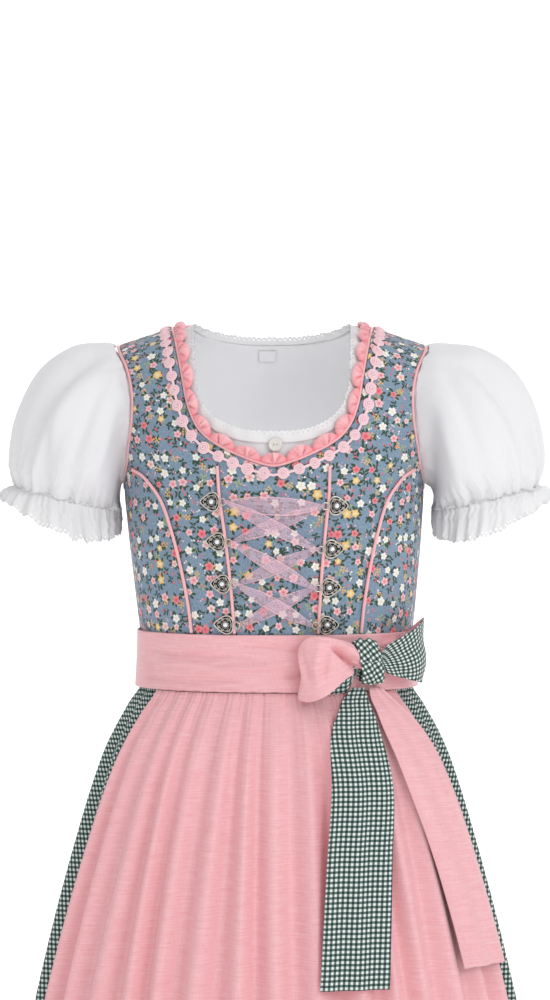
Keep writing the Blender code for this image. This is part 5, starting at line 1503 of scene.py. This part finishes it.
def cuffFrill(side, tag):
    facts = sleeveFacts
    turns = turnsOf(facts["steps"])
    coarse = [[tuple(sleevePoint(side, guides, turn)) for turn in turns] for guides in facts["frill"]]
    fine, s, ring = roundShell(coarse, 10, 12)
    normals = outwardNormals(fine, fine.mean(1, keepdims=True))
    seed = facts["seeds"][tag]
    lift = (0.0009 + 0.0036 * s) * waves(ring + 0.004 * s, seed + 7, (1 / 22, 1 / 16, 1 / 29))
    wander = 0.006 * waves(s + 0 * ring, seed + 10, (0.3, 0.5))
    lift = lift + 0.0010 * waves(ring + wander, seed + 8, (1 / 61, 1 / 47)) * (1 - 0.5 * s)
    fine = fine + normals * lift[..., None]
    fine[..., 2] += 0.0022 * s * waves(ring + 0 * s, seed + 9, (1 / 9, 1 / 14, 1 / 23))
    inner = fine - normals * facts["frillWall"]
    length, v = roundLengths(fine)[-1], arcLengths(fine, 0).mean(1)
    flat = flatGrid(wholeLace(length, cuffLaceFacts["pitch"]), v[-1] - v)
    name = "cuff_frill_" + tag
    piece = addWall(name + "_cloth", fine, inner, flat, [cuffLaceSurface], name, True)


pipingTree = cordTree()
print("stage: torso pieces")
neckPlaces = bodiceCentre()[1:-1]
for side, tag in ((-1, "left"), (1, "right")):
    innerEdge, outerEdge = bodiceFront(side, tag)
    princess = outerEdge[7:]
    sideEdge = bodiceSide(side, tag, princess)
    centreEdge, backEdge = bodiceBack(side, tag)
    piping("centre_piping_" + tag, innerEdge[8:-1], False)
    piping("princess_piping_" + tag, [between(princess[0], princess[1], 0.40)] + princess[1:-1], False)
    backTop = [place for place in backEdge[1:] if place[1] > cloth["armpit"] + 0.0001]
    armhole = outerEdge[:8] + sideEdge + backTop[::-1]
    piping("armhole_piping_" + tag, armhole, True,
           Vector((side * cloth["armhole"][0], 0, cloth["armhole"][1])))
    frontNeck, backNeck = innerEdge[7::-1], centreEdge[1:5]
    if side > 0:
        neckPlaces = neckPlaces + frontNeck + backNeck
    else:
        neckPlaces = (frontNeck + backNeck[:-1])[::-1] + neckPlaces
    blouseFront(side, tag)
    sleeve(side, tag)
    cuffFrill(side, tag)
    for number, height in enumerate(hookFacts[tag]):
        hook(tag, side, number + 1, height)
blouseBack()
piping("neck_piping", neckPlaces, True, cloth["neckMiddle"])
print("stage: trims")
neckFrill()
roseBraid()
blouseLace()
lacing()


bandFacts = {
    "top": -0.2325, "foot": -0.2780, "rows": 13, "columns": 96, "deeper": 2.4,
    "creases": [
        ([(-0.100, -0.246), (-0.060, -0.250), (-0.020, -0.249)], 0.0028, -0.0012),
        ([(-0.070, -0.262), (-0.010, -0.258), (0.030, -0.252)], 0.0030, 0.0012),
        ([(-0.030, -0.240), (0.010, -0.243), (0.035, -0.248)], 0.0024, -0.0010),
        ([(-0.108, -0.268), (-0.070, -0.270), (-0.030, -0.267)], 0.0026, -0.0010),
        ([(0.000, -0.268), (0.030, -0.262), (0.050, -0.257)], 0.0024, -0.0013),
        ([(0.085, -0.242), (0.103, -0.238)], 0.0024, 0.0010),
        ([(-0.090, -0.256), (-0.050, -0.257)], 0.0026, 0.0009),
        ([(-0.098, -0.236), (-0.101, -0.256), (-0.099, -0.276)], 0.0045, -0.0010),
    ],
    "backCreases": [
        ([(-0.080, -0.248), (0.030, -0.254)], 0.004, -0.0010),
        ([(-0.020, -0.265), (0.090, -0.262)], 0.004, 0.0010),
    ],
}


def apronBand():
    facts = bandFacts
    rows = []
    for height in np.linspace(facts["top"], facts["foot"], facts["rows"]):
        values = rowAt(bandTable, height)
        rows.append([tuple(ovalPoint(values, turn, height)) for turn in turnsOf(facts["columns"])])
    outer = refine(rows, 3, 4, True)
    normals = axisNormals(outer, True)
    outer = creased(outer, normals, scaled(facts["creases"], 1, facts["deeper"]))
    outer = creased(outer, normals, facts["backCreases"], False)
    inner = outer - normals * cloth["wall"]
    flat = flatGrid(roundLengths(outer)[0], arcLengths(outer, 0).mean(1))
    piece = addWall("apron_band_cloth", outer, inner, flat, [pinkSurface], "apron_band", True)
    declareCut(piece)


def uneven(index, seed):
    return math.sin(index * 12.9898 + seed * 78.233) * 0.5 + math.sin(index * 4.137 + seed * 3.71) * 0.5


def foldSize(turn, seed):
    low = math.floor(turn)
    share = smoothStep(turn - low)
    return 1 + 0.22 * (uneven(low, seed) * (1 - share) + uneven(low + 1, seed) * share)


def apronLift(height):
    folds = rowAt(skirtTable, height)[3] + rowAt(apronTable, height)[1]
    return folds * cloth["foldReach"] + 0.0008 + cloth["wall"]


def gathers(turn, height, top, seed, reach):
    fade = math.exp((height - top) / reach)
    first = math.sin(turn * 2 * math.pi * 3.1 + seed)
    second = math.sin(turn * 2 * math.pi * 4.7 + 2 * seed)
    return fade * (0.5 * first + 0.5 * second)


skirtFacts = {"folds": 16, "per": 18, "gather": 0.0011, "wall": 0.0011, "rows": [
    -0.2626, -0.2680, -0.2740, -0.2800, -0.2860, -0.2930, -0.3010, -0.3100, -0.3200, -0.3320, -0.3450,
    -0.3600, -0.3780, -0.4000, -0.4250, -0.4500, -0.4800, -0.5100, -0.5400, -0.5700, -0.6000, -0.6300,
    -0.6600, -0.6900, -0.7200, -0.7450, -0.7560, -0.7600]}


def clothSheet(name, rows, walls, surfaces, node, inside=0, per=(2, 1), share=0.5):
    fine = refine(rows, per[0], per[1])
    normals = axisNormals(fine)
    lengths = arcLengths(fine, 1)
    total = lengths[:, -1:]
    u = (lengths / total - 0.5) * total ** share * total.max() ** (1 - share)
    v = arcLengths(fine, 0).mean(1)
    piece = addWall(name, fine, fine - normals * walls, flatGrid(u, v), surfaces, node, False, inside)
    return piece


def skirtHalf(name, first, seed):
    facts = skirtFacts
    rows = []
    for height in facts["rows"]:
        half, front, back, fold = rowAt(skirtTable, height)
        row = []
        for n in range(facts["folds"] * facts["per"] + 1):
            turn = n / facts["per"]
            fade = min(1.0, min(turn, facts["folds"] - turn) + 0.25)
            sway = 0.10 * math.sin(turn * 1.7 + height * 9 + seed) * min(turn, facts["folds"] - turn, 1.0)
            out = fold * foldSize(turn, 1.0) * fade * math.cos(2 * math.pi * turn)
            begun = min(1.0, (cloth["waist"] - height) / 0.008)
            out += facts["gather"] * gathers(turn, height, -0.268, seed, 0.045) * begun * fade
            angle = first + math.pi * (turn + sway) / facts["folds"]
            row.append(tuple(ovalPoint((half, front, back), angle, height, out)))
        for end, near in ((0, 1), (-1, -2)):
            away = math.copysign(cloth["seamGap"], row[near][1] - row[end][1])
            row[end] = tuple(Vector(row[end]) + Vector((0, away, 0)))
        rows.append(row)
    clothSheet(name + "_cloth", rows, facts["wall"], [ginghamSurface], name)


apronFacts = {"folds": 14, "per": 18, "gather": 0.0010, "top": -0.2785, "feet": [-0.7300, -0.7350],
              "wall": 0.0010}


def apronPanel():
    facts = apronFacts
    folds = facts["folds"]
    rows = []
    for height in [facts["top"]] + skirtFacts["rows"][4:-3] + facts["feet"]:
        values = rowAt(skirtTable, height)
        halfAngle, fold = rowAt(apronTable, height)
        row = []
        for n in range(folds * facts["per"] + 1):
            turn = n / facts["per"]
            sway = 0.10 * math.sin(turn * 1.9 + height * 7) * min(turn, folds - turn, 1.0)
            angle = math.radians(halfAngle) * (2 * (turn + sway) / folds - 1)
            out = apronLift(height) + fold * foldSize(turn, 2.0) * math.cos(2 * math.pi * turn)
            out += facts["gather"] * gathers(turn, height, facts["top"], 2.6, 0.045)
            row.append(tuple(ovalPoint(values, angle, height, out)))
        rows.append(row)
    clothSheet("apron_panel_cloth", rows, facts["wall"], [pinkSurface], "apron_panel")


bowFacts = {
    "angle": 35.0, "height": -0.2540, "lift": 0.0078, "halfHeight": 0.0185, "halfDepth": 0.0066,
    "wall": 0.0008, "swell": 0.0012,
    "lean": 0.22, "leftTurn": 0.0, "rightTurn": 17.0, "knotTurn": 28.0,
    "tie": 0.055, "shown": 0.045,
    "knot": [(-0.0100, 0.90), (-0.0070, 0.97), (-0.0035, 1.0), (0.0, 0.985), (0.0035, 1.0), (0.0070, 0.97),
             (0.0100, 0.90)],
    "leftCreases": [
        ([(0.0440, -0.2400), (0.0520, -0.2465), (0.0600, -0.2545), (0.0660, -0.2610)], 0.0021, -0.0105),
        ([(0.0480, -0.2365), (0.0570, -0.2425), (0.0650, -0.2520)], 0.0030, 0.0044),
        ([(0.0405, -0.2400), (0.0385, -0.2540), (0.0365, -0.2660)], 0.0030, -0.0034),
        ([(0.0330, -0.2380), (0.0310, -0.2540), (0.0330, -0.2740)], 0.0036, 0.0030),
        ([(0.0480, -0.2560), (0.0560, -0.2620), (0.0640, -0.2650)], 0.0030, 0.0026),
        ([(0.0170, -0.2400), (0.0215, -0.2560), (0.0260, -0.2690)], 0.0026, -0.0026),
    ],
    "rightCreases": [
        ([(0.0850, -0.2500), (0.1000, -0.2620), (0.1120, -0.2720)], 0.0026, -0.0026),
        ([(0.0880, -0.2440), (0.1060, -0.2380)], 0.0030, 0.0014),
        ([(0.0880, -0.2560), (0.1060, -0.2520)], 0.0030, -0.0012),
    ],
    "left": [
        (33.8, 0.0117, -0.2540, 0.0045), (29.8, 0.0111, -0.2535, 0.0058), (27.0, 0.0140, -0.2503, 0.0102),
        (23.0, 0.0185, -0.2516, 0.0150), (16.0, 0.0215, -0.2558, 0.0230), (10.0, 0.0180, -0.2585, 0.0256),
        (7.0, 0.0110, -0.2610, 0.0215), (10.0, 0.0054, -0.2590, 0.0250), (16.0, 0.0029, -0.2568, 0.0235),
        (23.0, 0.0026, -0.2585, 0.0205), (27.0, 0.0032, -0.2590, 0.0175), (29.8, 0.0049, -0.2560, 0.0080),
        (33.8, 0.0041, -0.2540, 0.0045)],
    "right": [
        (36.2, 0.0117, -0.2535, 0.0045), (40.2, 0.0111, -0.2530, 0.0058), (43.0, 0.0138, -0.2522, 0.0115),
        (48.0, 0.0180, -0.2510, 0.0160), (56.0, 0.0205, -0.2490, 0.0216), (64.0, 0.0172, -0.2470, 0.0260),
        (68.5, 0.0108, -0.2475, 0.0246), (64.0, 0.0046, -0.2495, 0.0185), (56.0, 0.0022, -0.2510, 0.0150),
        (48.0, 0.0022, -0.2525, 0.0105), (43.0, 0.0032, -0.2530, 0.0080), (40.2, 0.0049, -0.2532, 0.0056),
        (36.2, 0.0041, -0.2535, 0.0045)],
}


def coverLift(height):
    if height >= -0.2720:
        return 0.0
    fold = rowAt(apronTable, height)[1] * cloth["foldReach"]
    cover = rowAt(skirtTable, height)[0] + apronLift(height) + fold
    return max(cover - rowAt(bandTable, height)[0], 0.0)


def turnedFlat(flat, degrees):
    c, s = math.cos(math.radians(degrees)), math.sin(math.radians(degrees))
    return flat @ np.array([[c, s], [-s, c]])


def bowLoop(tag, surfaces):
    facts = bowFacts
    table = facts[tag]
    widest = table[6][3]
    rows = []
    for across in np.linspace(1, -1, 13):
        row = []
        for degrees, lift, height, half in table:
            level = height + half * across
            out = lift + facts["swell"] * math.cos(math.pi * across) * half / widest + coverLift(level)
            row.append(tuple(ovalPoint(rowAt(bandTable, height), math.radians(degrees), level, out)))
        rows.append(row)
    fine = refine(rows, 4, 9)
    normals = gridNormals(fine)
    count = fine.shape[1]
    along = np.linspace(0, 1, count)[None]
    across = np.linspace(1, -1, fine.shape[0])[:, None]
    near = np.exp(-along / 0.16) + np.exp(-(1 - along) / 0.16)
    fold = 0.0011 * near * np.cos(across * 10.0 + 0.8) * (1 - 0.5 * np.abs(across))
    phase = 0 if tag == "left" else 1.2
    fold = fold + 0.0012 * np.sin(np.pi * along) * np.cos(across * 4.2 + 1.6 * along + phase)
    fade = np.clip(along / 0.08, 0, 1) * np.clip((1 - along) / 0.08, 0, 1)
    fine = fine + normals * (fold * fade)[..., None]
    sign = -1 if tag == "left" else 1
    folded = creased(fine, normals * sign, facts[tag + "Creases"])
    fine = fine + (folded - fine) * np.clip((0.50 - along) / 0.06, 0, 1)[..., None]
    u, v = arcLengths(fine, 1)[fine.shape[0] // 2], arcLengths(fine, 0)[:, count // 2]
    flat = turnedFlat(flatGrid(u, v), facts[tag + "Turn"])
    piece = addWall("bow_loop_%s_cloth" % tag, fine, fine - normals * facts["wall"] * sign, flat, surfaces,
                    "bow_loop_" + tag, False, 1)


def bowKnot():
    facts = bowFacts
    values = rowAt(bandTable, facts["height"])
    angle = math.radians(facts["angle"])
    base = ovalPoint(values, angle, facts["height"])
    normal = (ovalPoint(values, angle, facts["height"], 0.01) - base).normalized()
    side = Vector((-normal.y, normal.x, 0))
    rows = []
    for along, size in facts["knot"]:
        row = []
        for turn in turnsOf(24):
            rise = facts["halfHeight"] * size * math.sin(turn)
            spot = base + normal * (facts["lift"] + facts["halfDepth"] * size * math.cos(turn))
            row.append(tuple(spot + side * (along - facts["lean"] * rise) + Vector((0, 0, rise))))
        rows.append(row)
    fine, s, ring = roundShell(rows, 6, 4)
    normals = outwardNormals(fine, fine.mean((0, 1)))
    fold = 0.0008 * np.cos(s * 2 * np.pi * 2.5 + 0.8 * np.sin(2 * np.pi * ring)) * np.sin(np.pi * s)
    fine = fine + normals * fold[..., None]
    u, v = roundLengths(fine)[fine.shape[0] // 2], arcLengths(fine, 0).mean(1)
    flat = turnedFlat(flatGrid(u, v), facts["knotTurn"])
    piece = addWall("bow_knot_cloth", fine, fine - normals * facts["wall"], flat, [ginghamSurface],
                    "bow_knot", True)
    declareCut(piece, (v[-1], u[-1]))


tailFacts = {
    "left": [(-0.2745, 31.0, 0.0060, 0.0045), (-0.2860, 28.5, 0.0120, 0.0026),
             (-0.3100, 25.0, 0.0200, 0.0014), (-0.3500, 23.5, 0.0235, 0.0011),
             (-0.4000, 20.0, 0.0235, 0.0012), (-0.4500, 17.5, 0.0235, 0.0011),
             (-0.5000, 15.5, 0.0235, 0.0012)],
    "right": [(-0.2745, 39.0, 0.0060, 0.0045), (-0.2860, 42.0, 0.0120, 0.0026),
              (-0.3080, 45.0, 0.0200, 0.0014), (-0.3480, 47.5, 0.0235, 0.0011),
              (-0.3960, 49.5, 0.0235, 0.0012), (-0.4430, 50.5, 0.0235, 0.0011),
              (-0.4900, 51.0, 0.0235, 0.0012)],
}


def bowTail(tag, surfaces):
    rows = []
    phase = 1.0 if tag == "left" else 2.4
    table = [(-row[0], *row[1:]) for row in tailFacts[tag]]
    for height in np.linspace(-table[0][0], -table[-1][0], 25):
        degrees, half, lift = rowAt(table, -height)
        values = rowAt(skirtTable, height)
        out = apronLift(height) + rowAt(apronTable, height)[1] * cloth["foldReach"] + lift + 0.0006
        if height > bandTable[0][0]:
            values, out = rowAt(bandTable, height), lift
        row = []
        for j in range(13):
            across = 2 * j / 12 - 1
            ripple = 0.0011 * (1 + math.cos(across * 7.0 + height * 16 + phase)) * min(1.0, half / 0.02)
            angle = math.radians(degrees) + half * across / values[0]
            row.append(tuple(ovalPoint(values, angle, height, out + ripple)))
        rows.append(row)
    clothSheet("bow_tail_%s_cloth" % tag, rows, bowFacts["wall"], surfaces, "bow_tail_" + tag,
               1, (3, 3), 1.0)


def joinClose(shell):
    bmesh.ops.remove_doubles(shell, verts=shell.verts, dist=buttonFacts["join"])


buttonFacts = {"spot": (0.0015, -0.0813), "radius": 0.0056, "thick": 0.0018, "lift": 0.0026, "hole": 0.0008,
               "holeAt": 0.0013,
               "sides": 48, "rings": 34, "join": 0.000005}


def button():
    facts = buttonFacts
    angle, level = torsoPlace(*facts["spot"])
    normal = torsoFrame(angle, level)[2]
    base = torsoSkin(angle, level, -cloth["blouseDepth"] + facts["lift"])
    side = Vector((0, 0, 1)).cross(normal).normalized()
    up = normal.cross(side)
    sides, rings = facts["sides"], facts["rings"]
    points = []
    for layer in range(2):
        for r in range(rings):
            share = r / (rings - 1)
            for a in turnsOf(sides):
                x, y = facts["radius"] * share * math.cos(a), facts["radius"] * share * math.sin(a)
                height = 0.0
                if layer == 0:
                    rim = 0.28 * math.exp(-((share - 0.80) / 0.13) ** 2)
                    height = facts["thick"] * (0.72 + rim - 0.45 * max(share - 0.88, 0) / 0.12)
                    for hole in (-1, 1):
                        away = math.hypot(x - hole * facts["holeAt"], y)
                        height -= facts["thick"] * 0.62 * smoothStep((facts["hole"] * 1.15 - away) / 0.00030)
                points.append(base + side * x + up * y + normal * height)
    faces = []
    for layer in range(2):
        lift = layer * rings * sides
        for r in range(rings - 1):
            for n in range(sides):
                k = (n + 1) % sides
                a, b = lift + r * sides + n, lift + r * sides + k
                faces.append([a, a + sides, b + sides, b] if layer == 0 else [a, b, b + sides, a + sides])
    top, low = (rings - 1) * sides, (2 * rings - 1) * sides
    faces += [[top + n, low + n, low + (n + 1) % sides, top + (n + 1) % sides] for n in range(sides)]
    points = np.array([tuple(p) for p in points])
    piece = addMesh("blouse_button_pearl", points, faces, None, [pearlSurface], "blouse_button")
    reworked(piece.data, joinClose, faceOut)


labelFacts = {"behind": 0.0015, "middle": -0.0045, "half": (0.0078, 0.0050), "wall": 0.0004}


def sizeLabel():
    facts = labelFacts
    lift = -cloth["blouseDepth"] - cloth["thin"] - facts["behind"]
    wide, tall = facts["half"]
    rows = []
    for up in (1, -1):
        row = []
        for across in (-1, 0, 1):
            angle, level = torsoPlace(facts["middle"] + across * wide, facts["middle"] + up * tall, False)
            row.append((*torsoSkin(angle, level, lift), *torsoFrame(angle, level)[2]))
        rows.append(row)
    fine = refine(rows, 6, 5)
    points, normals = fine[..., :3], unit(fine[..., 3:])
    flat = np.stack([arcLengths(points, 1), arcLengths(points, 0)], -1)
    inner = points - normals * facts["wall"]
    piece = addWall("size_label_cloth", points, inner, flat, [whiteSurface], "size_label")
    declareCut(piece)


print("stage: skirt, apron and bow")
apronBand()
skirtHalf("skirt_front", -math.pi / 2, 1.3)
skirtHalf("skirt_back", math.pi / 2, 4.1)
apronPanel()
bowLoop("left", [pinkSurface, ginghamSurface])
bowLoop("right", [ginghamSurface, pinkSurface])
bowKnot()
bowTail("left", [ginghamSurface, pinkSurface])
bowTail("right", [pinkSurface, ginghamSurface])
button()
sizeLabel()

print("stage: floor, light and camera")
stageFacts = {
    # y and z of the floor and the wall that it rises into
    "profile": [(-9.0, -1.05), (6.4, -1.05), (7.6, -1.00), (8.5, -0.75), (9.0, -0.20), (9.2, 0.6),
                (9.25, 2.0),
                (9.25, 6.0)],
    "halfWidth": 14.0, "white": (1.0, 1.0, 1.0, 1.0), "glow": 0.40, "room": 0.63,
    # name, place, aim, watts, size
    "lamps": [
        ("key", (1.7, -2.2, 0.9), (0, 0, -0.2), 18.0, 1.1),
        ("fill", (-1.9, -2.2, 0.4), (0, 0, -0.2), 1.6, 1.8),
        ("top", (0.3, -0.5, 2.0), (0, 0, -0.2), 7.0, 1.2),
        ("backdrop", (0.0, 6.0, 3.2), (0, 9.2, 0.0), 70.0, 4.0),
        ("inner", (0.0, -0.020, -0.128), (0, 0.080, -0.030), 0.068, 0.085),
    ],
    "lens": 114.17, "sensor": 36.0, "eye": (-0.00123, -2.6, -0.0738), "target": (-0.00123, 0.0, -0.1271),
}


def aimed(piece, place, aim):
    piece.location = place
    piece.rotation_euler = (Vector(aim) - Vector(place)).to_track_quat("-Z", "Y").to_euler()


profile = refineLine(np.array(stageFacts["profile"]), 6)
floorPoints = [(x, y, z) for y, z in profile for x in (-stageFacts["halfWidth"], stageFacts["halfWidth"])]
floorFaces = [(2 * n, 2 * n + 1, 2 * n + 3, 2 * n + 2) for n in range(len(profile) - 1)]
floorMesh = bpy.data.meshes.new("floor")
floorMesh.from_pydata(floorPoints, [], floorFaces)
floorMesh.polygons.foreach_set("use_smooth", [True] * len(floorMesh.polygons))
glow = {"Emission Color": stageFacts["white"], "Emission Strength": stageFacts["glow"]}
floorMesh.materials.append(newSurface("pale floor", (0.90, 0.90, 0.90), 0.9, glow)[0])
floor = newObject("floor", floorMesh)

world = bpy.data.worlds.new("soft room")
world.use_nodes = True
world.node_tree.nodes["Background"].inputs["Color"].default_value = stageFacts["white"]
world.node_tree.nodes["Background"].inputs["Strength"].default_value = stageFacts["room"]
bpy.context.scene.world = world
for name, place, aim, power, size in stageFacts["lamps"]:
    light = bpy.data.lights.new(name, "AREA")
    light.energy = power
    light.size = size
    lamp = newObject(name, light)
    lamp.visible_camera = name != "inner"
    aimed(lamp, place, aim)

lens = bpy.data.cameras.new("camera")
lens.lens = stageFacts["lens"]
lens.sensor_width = stageFacts["sensor"]
camera = newObject("camera", lens)
aimed(camera, stageFacts["eye"], stageFacts["target"])
bpy.context.scene.camera = camera
bpy.context.scene.view_settings.view_transform = "Standard"
